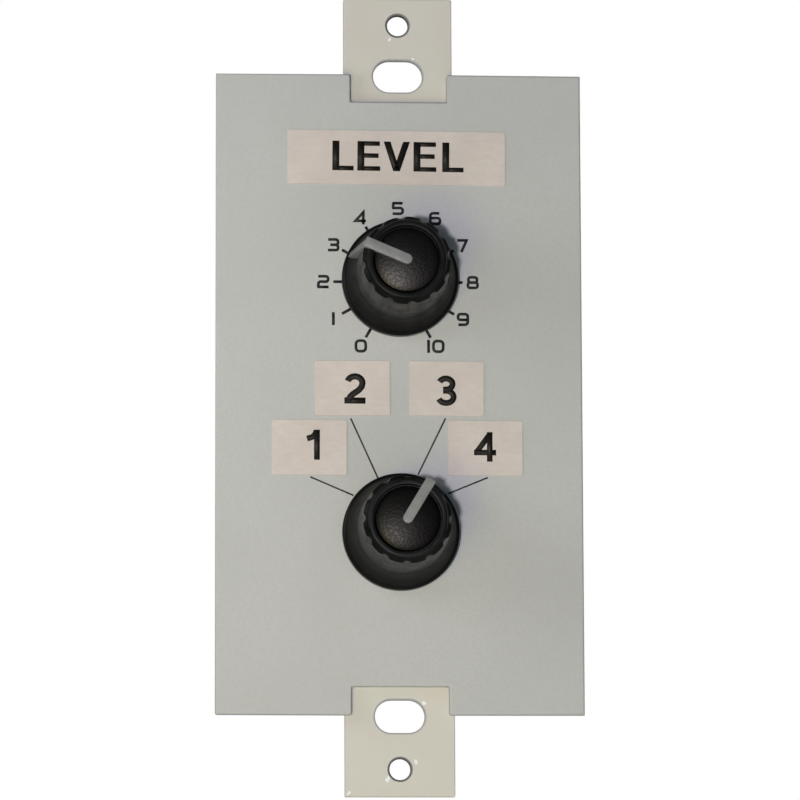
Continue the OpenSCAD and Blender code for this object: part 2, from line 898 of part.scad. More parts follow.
echo(str("Least gap between the turns of the detent spring: ", spring_gap, " mm"));

module source_detent_spring() {
  n = spring_sides;
  walls = [
    for (i = [0:spring_steps - 1], k = [0:n - 1])
      let (a = i * n + k, b = i * n + (k + 1) % n)
        each [[a, a + n, b], [b, a + n, b + n]]
  ];
  ends = [
    for (k = [1:n - 2])
      each [[0, k, k + 1], [spring_steps * n, spring_steps * n + k + 1, spring_steps * n + k]]
  ];
  color(steel) at_source() clock(contact_angle) translate([0, 0, ball_z])
    polyhedron([for (i = [0:spring_steps]) each spring_ring(i)], concat(walls, ends));
}

// The carrier's lug meets a rib of the housing at the first and last position
module source_carrier() {
  color(nylon) at_source() clock(contact_angle) difference() {
    union() {
      rod(rotor_r, rotor_rear, hub_rear);
      clock(180)
        arc_block(rotor_lug_r, rotor_r - rotor_lug_root, lug_half, rotor_rear, hub_rear - rotor_lug_drop);
    }
    driver(driver_d / 2 + fit, driver_af + 2 * fit, rotor_rear - over, hub_rear + over);
  }
}

module source_wiper() {
  color(brass) at_source() clock(contact_angle)
    wiper_shape(rotor_rear, pad_front, [pad_r, common_r]);
}

module source_pin_holes(low, high, clear) {
  for (p = source_pin_places) translate(p) rod(pin_r + clear, low - over, high + over);
}

module source_wafer() {
  color(phenolic) at_source() difference() {
    rod(wafer_seat_r - cup_clear, source_wafer_rear, source_wafer_front);
    source_pin_holes(source_wafer_rear, source_wafer_front, fit);
  }
}

// Four position contacts and the common ring, each with its pin
module source_contacts() {
  color(brass) at_source() {
    for (i = [0:3]) translate(source_pin_places[i]) rod(pad_d / 2, source_wafer_front, pad_front);
    flat_ring(common_r + common_w / 2, common_r - common_w / 2, source_wafer_front, pad_front);
    for (p = source_pin_places) translate(p) rod(pin_r, tail_z, pad_front);
  }
}

module source_housing() {
  color(housing_black) at_source() difference() {
    union() {
      rod(housing_r, -switch_depth, -plate_t);
      translate([0, 0, ear_rear]) linear_extrude(-plate_t - ear_rear) eared_outline();
    }
    rod(ring_seat_r, hub_rear, -plate_t + over);
    difference() {
      rod(room_r, source_wafer_front - over, hub_rear + over);
      for (side = [-1, 1]) clock(180 + side * rib_angle)
        arc_block(room_r + over, rib_r_in, rib_half, rotor_rear, hub_rear + 2 * over);
    }
    rod(wafer_seat_r, -switch_depth - over, source_wafer_front);
    for (side = [-1, 1]) translate([side * rivet_x, 0, 0])
      rod(rivet_d / 2 + ear_clear, ear_rear - over, -plate_t + over);
  }
}

module source_rear_cover() {
  color(housing_black) at_source() difference() {
    rod(wafer_seat_r - cup_clear, -switch_depth, source_wafer_rear);
    source_pin_holes(-switch_depth, source_wafer_rear, 2 * fit);
  }
}

module source_rivets() {
  color(steel) at_source() for (side = [-1, 1]) translate([side * rivet_x, 0, 0]) {
    rod(rivet_d / 2, ear_rear - rivet_head_t, rivet_head_t);
    rod(rivet_head_d / 2, 0, rivet_head_t);
    rod(rivet_head_d / 2, ear_rear - rivet_head_t, ear_rear);
  }
}

// Wiring board and terminal blocks

module circuit_board() {
  color(board_green) difference() {
    stand() translate([0, (board_top + board_bottom) / 2, board_rear]) linear_extrude(board_t)
      rounded_outline(board_w, board_top - board_bottom, board_corner_r);
    at_level() level_pin_holes(board_rear, board_front, pin_clear);
    at_source() source_pin_holes(board_rear, board_front, pin_clear);
    on_board(level_block_y, 0) leg_holes(level_ways);
    on_board(source_block_y, 180) leg_holes(source_ways);
  }
}

module leg_holes(ways) {
  at_ways(ways) translate([0, leg_y, 0]) rod(pin_r + pin_clear, -board_t - over, over);
}

// One way: a wire chamber, a screw well from above and a hole for the pin below
module block_shape(ways) {
  well_clear = 0.15;
  width = ways * terminal_pitch;
  chamber_w = terminal_pitch - 2 * block_wall;
  difference() {
    translate([-width / 2, -block_d / 2, 0]) cube([width, block_d, block_h]);
    at_ways(ways) {
      translate([-chamber_w / 2, -block_d / 2 + leg_back - fit, chamber_low])
        cube([chamber_w, block_d, chamber_high - chamber_low]);
      translate([0, leg_y, 0]) rod(pin_r + pin_clear, -over, chamber_low + over);
      rod(screw_d / 2 + well_clear, chamber_high - over, head_seat + over);
      rod(screw_head_d / 2 + well_clear, head_seat, block_h + over);
    }
  }
}

module screw_shape() {
  difference() {
    union() {
      rod(screw_d / 2, bar_high + fit, head_seat + over);
      rod(screw_head_d / 2, head_seat, head_seat + head_h);
    }
    translate([-screw_head_d, -driver_slot / 2, head_seat + head_h / 2])
      cube([2 * screw_head_d, driver_slot, head_h]);
  }
}

// Cage round the contact bar, drawn up by the screw to grip the wire
module clamp_shape() {
  difference() {
    translate([-clamp_w / 2, -clamp_d / 2, clamp_low])
      cube([clamp_w, clamp_d, clamp_high - clamp_low]);
    translate([-clamp_w / 2 + clamp_wall, -clamp_d, clamp_low + clamp_wall])
      cube([clamp_w - 2 * clamp_wall, 2 * clamp_d, clamp_high - clamp_low - 2 * clamp_wall]);
    rod(screw_d / 2 + fit, clamp_high - clamp_wall - over, clamp_high + over);
  }
}

// Contact bar through the cage, its leg down to the board, and the soldered pin
module pin_shape() {
  bar_back = leg_y - leg_t / 2;
  translate([-bar_w / 2, bar_back, bar_high - bar_t]) cube([bar_w, bar_front - bar_back, bar_t]);
  translate([-bar_w / 2, bar_back, chamber_low]) cube([bar_w, leg_t, bar_high - chamber_low]);
  translate([0, leg_y, 0]) rod(pin_r, -board_t - pin_tail / 2, chamber_low + over);
}

module level_terminal_block() {
  color(block_green) on_board(level_block_y, 0) block_shape(level_ways);
}

module level_terminal_screws() {
  color(steel) on_board(level_block_y, 0) at_ways(level_ways) screw_shape();
}

module level_terminal_clamps() {
  color(steel) on_board(level_block_y, 0) at_ways(level_ways) clamp_shape();
}

module level_terminal_pins() {
  color(brass) on_board(level_block_y, 0) at_ways(level_ways) pin_shape();
}

module source_terminal_block() {
  color(block_green) on_board(source_block_y, 180) block_shape(source_ways);
}

module source_terminal_screws() {
  color(steel) on_board(source_block_y, 180) at_ways(source_ways) screw_shape();
}

module source_terminal_clamps() {
  color(steel) on_board(source_block_y, 180) at_ways(source_ways) clamp_shape();
}

module source_terminal_pins() {
  color(brass) on_board(source_block_y, 180) at_ways(source_ways) pin_shape();
}

front_panel();
mounting_strap();
level_label();
source_label(1);  // source_label_1
source_label(2);  // source_label_2
source_label(3);  // source_label_3
source_label(4);  // source_label_4
level_knob();
level_knob_cap();
level_knob_pointer();
level_nut();
level_washer();
level_bushing();
level_shaft();
level_carrier();
level_wiper();
level_wafer();
level_track();
level_pins();
level_can();
source_knob();
source_knob_cap();
source_knob_pointer();
source_nut();
source_washer();
source_bushing();
source_shaft();
source_detent_hub();
source_detent_ring();
source_detent_balls();
source_detent_spring();
source_carrier();
source_wiper();
source_wafer();
source_contacts();
source_housing();
source_rear_cover();
source_rivets();
circuit_board();
level_terminal_block();
level_terminal_screws();
level_terminal_clamps();
level_terminal_pins();
source_terminal_block();
source_terminal_screws();
source_terminal_clamps();
source_terminal_pins();
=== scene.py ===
import json
import math

import bpy
from mathutils import Matrix, Vector


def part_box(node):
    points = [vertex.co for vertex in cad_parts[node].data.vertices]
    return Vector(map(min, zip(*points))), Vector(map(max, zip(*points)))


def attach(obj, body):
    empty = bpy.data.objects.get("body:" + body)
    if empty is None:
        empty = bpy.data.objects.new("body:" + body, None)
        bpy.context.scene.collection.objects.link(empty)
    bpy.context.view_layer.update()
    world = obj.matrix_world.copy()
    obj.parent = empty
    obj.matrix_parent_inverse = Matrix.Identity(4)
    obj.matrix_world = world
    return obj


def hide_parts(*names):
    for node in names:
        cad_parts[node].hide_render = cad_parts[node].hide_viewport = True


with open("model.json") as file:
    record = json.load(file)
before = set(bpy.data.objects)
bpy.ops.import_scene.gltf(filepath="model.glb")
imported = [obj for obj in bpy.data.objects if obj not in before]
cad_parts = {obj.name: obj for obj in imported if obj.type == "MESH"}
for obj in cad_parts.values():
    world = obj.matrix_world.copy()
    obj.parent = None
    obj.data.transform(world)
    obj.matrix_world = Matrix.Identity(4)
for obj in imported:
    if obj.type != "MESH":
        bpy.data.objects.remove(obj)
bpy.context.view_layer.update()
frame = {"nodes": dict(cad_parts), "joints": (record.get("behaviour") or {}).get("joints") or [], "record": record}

# Pieces are drawn in millimetres as seen from the front: x to the right, y up, z towards the viewer from
# the strap's rear face. set_in_place() stands them upright in metres.
MM = 0.001
# Points nearer than this are taken as one, in millimetres
SAME_PLACE = 0.01


def reach_of(node):
    """A drawn node's left and right, low and high, rear and front."""
    low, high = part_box(node)
    return (low.x / MM, high.x / MM), (low.z / MM, high.z / MM), (-high.y / MM, -low.y / MM)


def middle_of(node):
    """The middle of a drawn node, seen from the front."""
    (left, right), (low, high), _ = reach_of(node)
    return (left + right) / 2, (low + high) / 2


def clock_angle(pointer, y):
    """The angle at which a pointer stands, clockwise from 12: that of its foot, the part farthest out."""
    points = [Vector((point.co.x / MM, point.co.z / MM - y))
              for point in frame["nodes"][pointer].data.vertices]
    farthest = max(point.length for point in points)
    foot = sum((point for point in points if point.length > farthest - SAME_PLACE), Vector((0.0, 0.0)))
    return math.degrees(math.atan2(foot.x, foot.y))


PANEL_FACE = reach_of("front_panel")[2][1]
TAPE_FACE = reach_of("level_label")[2][1]
KNOB_FOOT, KNOB_FRONT = reach_of("level_knob")[2]
BOARD_BACK, BOARD_FRONT = reach_of("circuit_board")[2]
AXIS_Y = {joint["child"]: joint["pos_m"][2] / MM for joint in frame["joints"]}
LEVEL_Y = AXIS_Y["level_control"]
SOURCE_Y = AXIS_Y["source_control"]
LEVEL_POINTS = clock_angle("level_knob_pointer", LEVEL_Y)
SOURCE_POINTS = clock_angle("source_knob_pointer", SOURCE_Y)


# Handling

def mode(kind):
    """Goes into edit mode or object mode."""
    bpy.ops.object.mode_set(mode=kind)


def let_go():
    """Leaves edit mode and selects nothing."""
    if bpy.context.mode != "OBJECT":
        mode("OBJECT")
    bpy.ops.object.select_all(action="DESELECT")


def take(piece):
    """Selects one piece alone and makes it the active one."""
    let_go()
    piece.select_set(True)
    bpy.context.view_layer.objects.active = piece


def moved(piece, placing):
    """Places a piece by a matrix, which its mesh takes up."""
    take(piece)
    piece.matrix_world = placing
    bpy.ops.object.transform_apply(location=True, rotation=True, scale=True)


def set_in_place(piece, x=0.0, y=0.0, z=0.0, turn=0.0):
    """Turns a piece clockwise on its face, moves it, and stands it upright in metres."""
    stand = Matrix.Scale(MM, 4) @ Matrix.Rotation(math.radians(90), 4, "X")
    clockwise = Matrix.Rotation(-math.radians(turn), 4, "Z")
    moved(piece, stand @ Matrix.Translation((x, y, z)) @ clockwise)


def linked(name, data):
    """A new object in the scene that shows the data."""
    made = bpy.data.objects.new(name, data)
    bpy.context.scene.collection.objects.link(made)
    return made


def copy_of(piece, name):
    """A second piece of the same form, with a mesh of its own."""
    return linked(name, piece.data.copy())


def joined(name, parts):
    """Several parts as one piece."""
    take(parts[0])
    for part in parts[1:]:
        part.select_set(True)
    bpy.ops.object.join()
    piece = bpy.context.object
    piece.name = name
    return piece


def smooth_faces(piece, angle):
    """Smooth shading, except over edges sharper than the angle."""
    take(piece)
    bpy.ops.object.shade_smooth_by_angle(angle=math.radians(angle))


def fit_out(piece, body, slot, finish, *nodes):
    """Gives a piece its finish and puts it on its body in the place of the drawn nodes."""
    piece.data.materials.clear()
    piece.data.materials.append(FINISHES[finish])
    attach(piece, body)
    if nodes:
        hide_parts(*nodes)
    return piece


# Shaping

def turned(name, section, sides):
    """A piece turned on a lathe: a disc drawn out ring by ring to the section's radii and heights."""
    let_go()
    radius, height = section[0]
    bpy.ops.mesh.primitive_circle_add(
        vertices=sides, radius=radius, fill_type="NGON", location=(0, 0, height))
    piece = bpy.context.object
    piece.name = name
    bpy.ops.object.transform_apply(location=True)
    mode("EDIT")
    bpy.ops.mesh.select_all(action="SELECT")
    for next_radius, next_height in section[1:]:
        rise = (0.0, 0.0, next_height - height)
        bpy.ops.mesh.extrude_region_move(TRANSFORM_OT_translate={"value": rise})
        ratio = next_radius / radius
        bpy.ops.transform.resize(value=(ratio, ratio, 1.0), center_override=(0.0, 0.0, 0.0))
        radius, height = next_radius, next_height
    bpy.ops.mesh.select_all(action="SELECT")
    bpy.ops.mesh.normals_make_consistent(inside=False)
    mode("OBJECT")
    return piece


def whole_copy(node, merge=0.001):
    """A copy of a drawn node in whole faces, with points closer than merge millimetres made one."""
    piece = copy_of(frame["nodes"][node], node + "_piece")
    take(piece)
    bpy.ops.mesh.customdata_custom_splitnormals_clear()
    mode("EDIT")
    bpy.ops.mesh.select_all(action="SELECT")
    bpy.ops.mesh.remove_doubles(threshold=merge * MM)
    bpy.ops.mesh.dissolve_limited(angle_limit=math.radians(0.5))
    mode("OBJECT")
    return piece


def bevelled(piece, width, steps, chosen):
    """Bevels the sharp edges along a sheet's faces whose ends are chosen, by a width in millimetres."""
    take(piece)
    mode("EDIT")
    bpy.ops.mesh.select_mode(type="EDGE")
    bpy.ops.mesh.select_all(action="DESELECT")
    bpy.ops.mesh.edges_select_sharp(sharpness=math.radians(40))
    mode("OBJECT")
    points = piece.data.vertices
    for edge in piece.data.edges:
        first, second = (points[i].co for i in edge.vertices)
        along_face = abs(first.y - second.y) < SAME_PLACE * MM
        edge.select = edge.select and along_face and chosen(first) and chosen(second)
    mode("EDIT")
    bpy.ops.mesh.bevel(offset=width * MM, segments=steps, affect="EDGES", loop_slide=False)
    mode("OBJECT")


def smooth_flats(piece):
    """Smooth shading that leaves flat faces flat."""
    smooth_faces(piece, 35)
    even = piece.modifiers.new("flat faces stay flat", "WEIGHTED_NORMAL")
    even.keep_sharp = True
    bpy.ops.object.modifier_apply(modifier=even.name)


def eased(node, ease, steps=2):
    """A copy of a drawn node with its sharp edges rounded off by the given width in millimetres."""
    piece = whole_copy(node)
    bevel = piece.modifiers.new("eased edges", "BEVEL")
    bevel.width = ease * MM
    bevel.segments = steps
    bevel.limit_method = "ANGLE"
    bevel.angle_limit = math.radians(35)
    bevel.use_clamp_overlap = False
    bevel.loop_slide = False
    bpy.ops.object.modifier_apply(modifier=bevel.name)
    smooth_flats(piece)
    return piece


BEND_STEPS = 8


def bent_path(corners, radii, closed=False):
    """A path through the corners, each rounded as far as its radius and its sides allow."""
    count = len(corners)
    if not isinstance(radii, (list, tuple)):
        radii = [radii] * count
    path = []
    for i, corner in enumerate(corners):
        here = Vector(corner)
        if not closed and i in (0, count - 1):
            path.append(here)
            continue
        before = Vector(corners[i - 1]) - here
        after = Vector(corners[(i + 1) % count]) - here
        reach = min(radii[i], before.length / 2, after.length / 2)
        if reach < SAME_PLACE:
            path.append(here)
            continue
        start = here + before.normalized() * reach
        end = here + after.normalized() * reach
        for step in range(BEND_STEPS + 1):
            share = step / BEND_STEPS
            rest = 1 - share
            path.append(start * rest ** 2 + here * (2 * share * rest) + end * share ** 2)
    return path


def arc(x, y, across, up, start, end, steps=18):
    """Points on an oval round x, y, between two angles from 3 o'clock, counted anticlockwise."""
    turns = [math.radians(start + (end - start) * step / steps) for step in range(steps + 1)]
    return [(x + across * math.cos(turn), y + up * math.sin(turn)) for turn in turns]


def strokes(name, paths, width, height, closed=()):
    """Flat strokes of one width and height along paths; the ones numbered in closed are loops."""
    nib = bpy.data.curves.new(name + "_nib", "CURVE")
    nib.dimensions = "2D"
    edge = nib.splines.new("POLY")
    edge.points.add(3)
    half = width / 2
    corners = [(-half, 0), (half, 0), (half, height), (-half, height)]
    for point, (across, up) in zip(edge.points, corners):
        point.co = (across, up, 0.0, 1.0)
    edge.use_cyclic_u = True
    nib_piece = linked(name + "_nib", nib)
    drawn = bpy.data.curves.new(name, "CURVE")
    drawn.dimensions = "2D"
    drawn.fill_mode = "NONE"
    drawn.bevel_mode = "OBJECT"
    drawn.bevel_object = nib_piece
    drawn.use_fill_caps = True
    for number, path in enumerate(paths):
        line = drawn.splines.new("POLY")
        line.points.add(len(path) - 1)
        for point, place in zip(line.points, path):
            point.co = (place[0], place[1], 0.0, 1.0)
        line.use_cyclic_u = number in closed
    piece = linked(name, drawn)
    take(piece)
    bpy.ops.object.convert(target="MESH")
    bpy.data.objects.remove(nib_piece)
    mode("EDIT")
    bpy.ops.mesh.select_all(action="SELECT")
    bpy.ops.mesh.remove_doubles(threshold=0.001)
    bpy.ops.mesh.normals_make_consistent(inside=False)
    mode("OBJECT")
    return piece


def clock_place(angle, radius, x=0.0, y=0.0):
    """The point at an angle clockwise from 12 and a radius from x, y."""
    return (x + radius * math.sin(math.radians(angle)), y + radius * math.cos(math.radians(angle)))


# Finishes

def tone(red, green, blue):
    """A colour written as 0 to 255, as the shader takes it."""
    def straight(value):
        value /= 255
        return value / 12.92 if value <= 0.04045 else ((value + 0.055) / 1.055) ** 2.4
    return (straight(red), straight(green), straight(blue), 1.0)


# Materials by name
FINISHES = {}


class Finish:
    """A surface: its nodes are added one by one, and all take the piece's own place in metres."""

    def __init__(self, name, metallic=0.0, specular=0.5):
        FINISHES[name] = bpy.data.materials.new(name)
        FINISHES[name].use_nodes = True
        self.tree = FINISHES[name].node_tree
        self.shader = self.tree.nodes["Principled BSDF"]
        self.shader.inputs["Metallic"].default_value = metallic
        self.shader.inputs["Specular IOR Level"].default_value = specular
        self.at = self.tree.nodes.new("ShaderNodeTexCoord").outputs["Object"]

    def link(self, source, target):
        self.tree.links.new(source, target)

    def cloud(self, size, detail=3.0, stretch=None):
        """Noise whose patches are about size millimetres across, drawn out by stretch."""
        noise = self.tree.nodes.new("ShaderNodeTexNoise")
        noise.inputs["Scale"].default_value = 1 / (size * MM)
        noise.inputs["Detail"].default_value = detail
        place = self.at
        if stretch:
            turn = self.tree.nodes.new("ShaderNodeMapping")
            turn.inputs["Scale"].default_value = stretch
            self.link(place, turn.inputs["Vector"])
            place = turn.outputs["Vector"]
        self.link(place, noise.inputs["Vector"])
        return noise.outputs["Fac"]

    def pebbles(self, size):
        """Rounded bumps about size millimetres across."""
        cells = self.tree.nodes.new("ShaderNodeTexVoronoi")
        cells.inputs["Scale"].default_value = 1 / (size * MM)
        self.link(self.at, cells.inputs["Vector"])
        distance = cells.outputs["Distance"]
        return self.span(self.sum_of("MULTIPLY", distance, distance), 1.0, 0.0, 0.0, 0.5)

    def span(self, value, low, high, start=0.3, end=0.7):
        """A value between start and end spread from low to high."""
        spread = self.tree.nodes.new("ShaderNodeMapRange")
        spread.interpolation_type = "SMOOTHSTEP"
        spread.inputs["From Min"].default_value = start
        spread.inputs["From Max"].default_value = end
        spread.inputs["To Min"].default_value = low
        spread.inputs["To Max"].default_value = high
        self.link(value, spread.inputs["Value"])
        return spread.outputs["Result"]

    def sum_of(self, kind, first, second):
        """Two values, or a value and a number, added, multiplied or compared."""
        made = self.tree.nodes.new("ShaderNodeMath")
        made.operation = kind
        for value, socket in zip((first, second), made.inputs):
            if isinstance(value, (int, float)):
                socket.default_value = value
            else:
                self.link(value, socket)
        return made.outputs["Value"]

    def mixed(self, share, first, second):
        """Two colours mixed by a share."""
        mix = self.tree.nodes.new("ShaderNodeMix")
        mix.data_type = "RGBA"
        self.link(share, mix.inputs["Factor"])
        for colour, socket in ((first, mix.inputs["A"]), (second, mix.inputs["B"])):
            if isinstance(colour, tuple):
                socket.default_value = colour
            else:
                self.link(colour, socket)
        return mix.outputs["Result"]

    def two_tones(self, size, detail, light, dark):
        """Two colours in soft patches about size millimetres across."""
        return self.mixed(self.span(self.cloud(size, detail), 0.0, 1.0), tone(*light), tone(*dark))

    def place_parts(self):
        """The three parts of the place."""
        parts = self.tree.nodes.new("ShaderNodeSeparateXYZ")
        self.link(self.at, parts.inputs["Vector"])
        return parts.outputs["X"], parts.outputs["Y"], parts.outputs["Z"]

    def colour(self, colour):
        self.link(colour, self.shader.inputs["Base Color"])

    def rough(self, value):
        self.link(value, self.shader.inputs["Roughness"])

    def relief(self, height, depth, strength=1.0):
        """Relief of the given depth in millimetres."""
        bump = self.tree.nodes.new("ShaderNodeBump")
        bump.inputs["Strength"].default_value = strength
        bump.inputs["Distance"].default_value = depth * MM
        self.link(height, bump.inputs["Height"])
        self.link(bump.outputs["Normal"], self.shader.inputs["Normal"])


def plain_finish(name, light, dark, patch, gloss, grain, depth, metallic=0.0, specular=0.5, stretch=None):
    """Two tones in soft patches, uneven gloss and a fine grain."""
    finish = Finish(name, metallic, specular)
    finish.colour(finish.two_tones(patch, 3.0, light, dark))
    finish.rough(finish.span(finish.cloud(patch * 0.6, 4.0), gloss[0], gloss[1]))
    finish.relief(finish.cloud(grain, 4.0, stretch), depth)


def panel_paint_finish():
    """Grey-green stove paint with a fine orange peel and faint darker specks."""
    finish = Finish("panel_paint", specular=0.1)
    base = finish.two_tones(14.0, 2.0, (188, 189, 183), (185, 186, 180))
    speck = finish.span(finish.cloud(0.35, 2.0), 0.0, 0.5, 0.35, 0.75)
    finish.colour(finish.mixed(speck, base, tone(179, 179, 174)))
    finish.rough(finish.span(finish.cloud(6.0, 5.0), 0.54, 0.66))
    finish.relief(finish.cloud(0.5, 2.0), 0.006)


PLATE_HOLES = next(mount for mount in frame["record"]["mounts"] if mount["name"] == "wall_plate_holes")
PLATE_HOLE_Y = PLATE_HOLES["dims"]["spacing_y_mm"] / 2
PLATE_HOLE_R = PLATE_HOLES["dims"]["hole_r_mm"]
OPENINGS = {opening["name"]: opening["box_m"] for opening in frame["record"]["physics"]["openings"]}
BOX_SLOT_Y = sum(corner[2] for corner in OPENINGS["upper_box_slot"]) / 2 / MM
# Widths of the sinks at the holes and of the rounding at the slots
HOLE_SINK = 0.28
SLOT_ROUND = 0.2
SINK_R = PLATE_HOLE_R + HOLE_SINK
# All edges this near to the middle of a slot are its own
SLOT_ROOM = 5.0


def off_middle(point, y):
    """How far a point of the strap is from the nearer of two middles, y above and y below its own."""
    return math.hypot(point.x / MM, abs(point.z) / MM - y)


SLOT_EDGE = [point.co for point in frame["nodes"]["mounting_strap"].data.vertices
             if off_middle(point.co, BOX_SLOT_Y) < SLOT_ROOM]
BOX_SLOT_R = max(abs(point.z) / MM for point in SLOT_EDGE) - BOX_SLOT_Y
BOX_SLOT_STRAIGHT = max(point.x / MM for point in SLOT_EDGE) - BOX_SLOT_R
# Middle and radius of each chip in the strap's paint
CHIPS = (
    (1.95, BOX_SLOT_Y + 2.3, 0.26), (3.15, 1.65 - BOX_SLOT_Y, 0.3), (-1.0, PLATE_HOLE_Y - 1.85, 0.24),
    (-1.65, -PLATE_HOLE_Y - 1.35, 0.34), (2.0, 0.95 - PLATE_HOLE_Y, 0.26), (-6.5, -PLATE_HOLE_Y - 3.0, 0.3),
)


def strap_paint_finish():
    """Cream paint, chipped here and there and worn off in the sinks of the holes; painted darker round the slots
    as painted shade, and dark in the hole walls, which are bare thread darkened further as painted shade.
    """
    finish = Finish("strap_paint", specular=0.1)
    base = finish.two_tones(8.0, 3.0, (206, 204, 191), (205, 200, 187))
    x, _, z = finish.place_parts()
    far_z = finish.sum_of("ABSOLUTE", z, 0.0)
    to_hole = finish.sum_of("SUBTRACT", far_z, PLATE_HOLE_Y * MM)
    to_slot = finish.sum_of("SUBTRACT", far_z, BOX_SLOT_Y * MM)
    past_straight = finish.sum_of("SUBTRACT", finish.sum_of("ABSOLUTE", x, 0.0), BOX_SLOT_STRAIGHT * MM)
    past_end = finish.sum_of("MAXIMUM", past_straight, 0.0)

    def length(first, second):
        squares = [finish.sum_of("MULTIPLY", side, side) for side in (first, second)]
        return finish.sum_of("SQRT", finish.sum_of("ADD", *squares), 0.0)

    def within(distance, full, none):
        return finish.span(distance, 1.0, 0.0, full * MM, none * MM)

    from_hole = length(x, to_hole)
    from_slot = length(past_end, to_slot)
    round_r = BOX_SLOT_R + SLOT_ROUND
    ragged = finish.span(finish.cloud(0.6, 2.0), 0.6, 1.6)
    chip = 0.0
    for chip_x, chip_z, chip_r in CHIPS:
        off_x = finish.sum_of("SUBTRACT", x, chip_x * MM)
        off_z = finish.sum_of("SUBTRACT", z, chip_z * MM)
        from_chip = finish.sum_of("MULTIPLY", length(off_x, off_z), ragged)
        chip = finish.sum_of("MAXIMUM", chip, within(from_chip, 0.7 * chip_r, 1.1 * chip_r))
    # The rounding round each slot is painted darker: painted shade on the rounded edge.
    slot_rim_shade = within(from_slot, round_r - 0.06, round_r + 0.08)
    bare = within(from_hole, SINK_R - 0.08, SINK_R + 0.06)
    # The hole walls are painted near black: dark bare steel thread, darkened further as painted shade.
    dark_thread_and_shade = within(from_hole, PLATE_HOLE_R + 0.02, PLATE_HOLE_R + 0.12)
    metal = finish.mixed(dark_thread_and_shade, tone(128, 126, 122), tone(66, 64, 62))
    paint = finish.mixed(slot_rim_shade, finish.mixed(chip, base, tone(238, 238, 235)), tone(170, 170, 166))
    finish.colour(finish.mixed(bare, paint, metal))
    finish.rough(finish.span(finish.cloud(5.0, 5.0), 0.52, 0.64))
    finish.relief(finish.sum_of("SUBTRACT", finish.cloud(0.5, 2.0), chip), 0.008)


def label_tape_finish():
    """Slightly yellowed tape with a faint fibre and a satin face."""
    finish = Finish("label_tape", specular=0.14)
    base = finish.two_tones(5.0, 3.0, (210, 201, 190), (203, 193, 183))
    fibre = finish.span(finish.cloud(0.5, 3.0, (0.35, 1.0, 1.0)), 0.0, 0.35)
    finish.colour(finish.mixed(fibre, base, tone(192, 184, 173)))
    finish.rough(finish.span(finish.cloud(3.0, 4.0), 0.52, 0.66))
    finish.relief(finish.cloud(0.8, 3.0, (0.5, 1.0, 1.0)), 0.008)


def ink_finish(name, dark, worn):
    """Printed ink, a little thin in places."""
    finish = Finish(name, specular=0.3)
    thin = finish.span(finish.cloud(0.5, 4.0), 0.0, 0.6, 0.45, 0.75)
    finish.colour(finish.mixed(thin, tone(*dark), tone(*worn)))
    finish.rough(finish.span(finish.cloud(1.0, 3.0), 0.45, 0.65))
    finish.relief(finish.cloud(0.25, 2.0), 0.003)


def knob_plastic_finish():
    """Satin black moulded plastic, a little dusty and with fine moulding grain."""
    finish = Finish("knob_plastic", specular=0.127)
    base = finish.two_tones(2.5, 4.0, (8, 8, 7), (14, 14, 12))
    dust = finish.span(finish.cloud(0.22, 2.0), 0.0, 0.4, 0.62, 0.8)
    finish.colour(finish.mixed(dust, base, tone(30, 29, 27)))
    finish.rough(finish.span(finish.cloud(2.2, 2.0), 0.29, 0.41))
    finish.relief(finish.cloud(0.18, 2.0), 0.0012)


def cap_plastic_finish(name, shine):
    """Black plastic with a coarse pebbled grain whose tops are painted a little lighter and hollows darker as
    painted shade; a cap worn smooth by fingers has more shine.
    """
    finish = Finish(name, specular=shine)
    finish.shader.inputs["Specular Tint"].default_value = (1.0, 0.94, 0.86, 1.0)
    coarse = finish.pebbles(0.37)
    # Pebble tops are painted a touch lighter and the hollows between them darker: painted shade and highlight on
    # the grain.
    finish.colour(finish.mixed(finish.span(coarse, 0.0, 1.0), tone(1, 1, 1), tone(4, 4, 4)))
    finish.rough(finish.span(coarse, 0.43, 0.36, 0.2, 1.0))
    finish.relief(coarse, 0.007)


def brushed_metal_finish(name, light, dark, gloss, stretch):
    """Metal with fine drawn streaks and a few dull patches."""
    finish = Finish(name, metallic=1.0)
    streak = finish.cloud(0.35, 3.0, stretch)
    base = finish.two_tones(2.5, 4.0, light, dark)
    finish.colour(finish.mixed(finish.span(streak, 0.0, 0.4), base, tone(*dark)))
    finish.rough(finish.span(finish.cloud(1.2, 4.0), gloss[0], gloss[1]))
    finish.relief(streak, 0.006)


panel_paint_finish()
strap_paint_finish()
label_tape_finish()
ink_finish("label_ink", (24, 22, 16), (44, 40, 32))
ink_finish("dial_ink", (25, 25, 27), (52, 52, 52))
ink_finish("leader_ink", (62, 61, 60), (96, 95, 92))
knob_plastic_finish()
cap_plastic_finish("cap_plastic", 0.16)
cap_plastic_finish("rubbed_cap_plastic", 0.28)
plain_finish(
    "pointer_plastic", (126, 128, 123), (114, 116, 112), 1.5, (0.42, 0.54), 0.3, 0.008, specular=0.35)
brushed_metal_finish("plated_steel", (205, 204, 198), (168, 167, 160), (0.24, 0.4), (1.0, 0.2, 1.0))
plain_finish("zinc_casting", (176, 177, 178), (140, 141, 143), 1.8, (0.36, 0.55), 0.3, 0.02, metallic=1.0)
brushed_metal_finish("tinned_brass", (214, 196, 142), (178, 152, 92), (0.22, 0.36), (1.0, 0.3, 1.0))
plain_finish("solder", (206, 208, 210), (168, 170, 174), 0.6, (0.18, 0.36), 0.3, 0.012, metallic=1.0)
plain_finish("resistance_ink", (36, 36, 38), (24, 24, 25), 1.0, (0.5, 0.7), 0.12, 0.006)
plain_finish("phenolic", (128, 84, 48), (98, 62, 36), 2.0, (0.4, 0.58), 0.5, 0.01, stretch=(0.3, 1.0, 1.0))
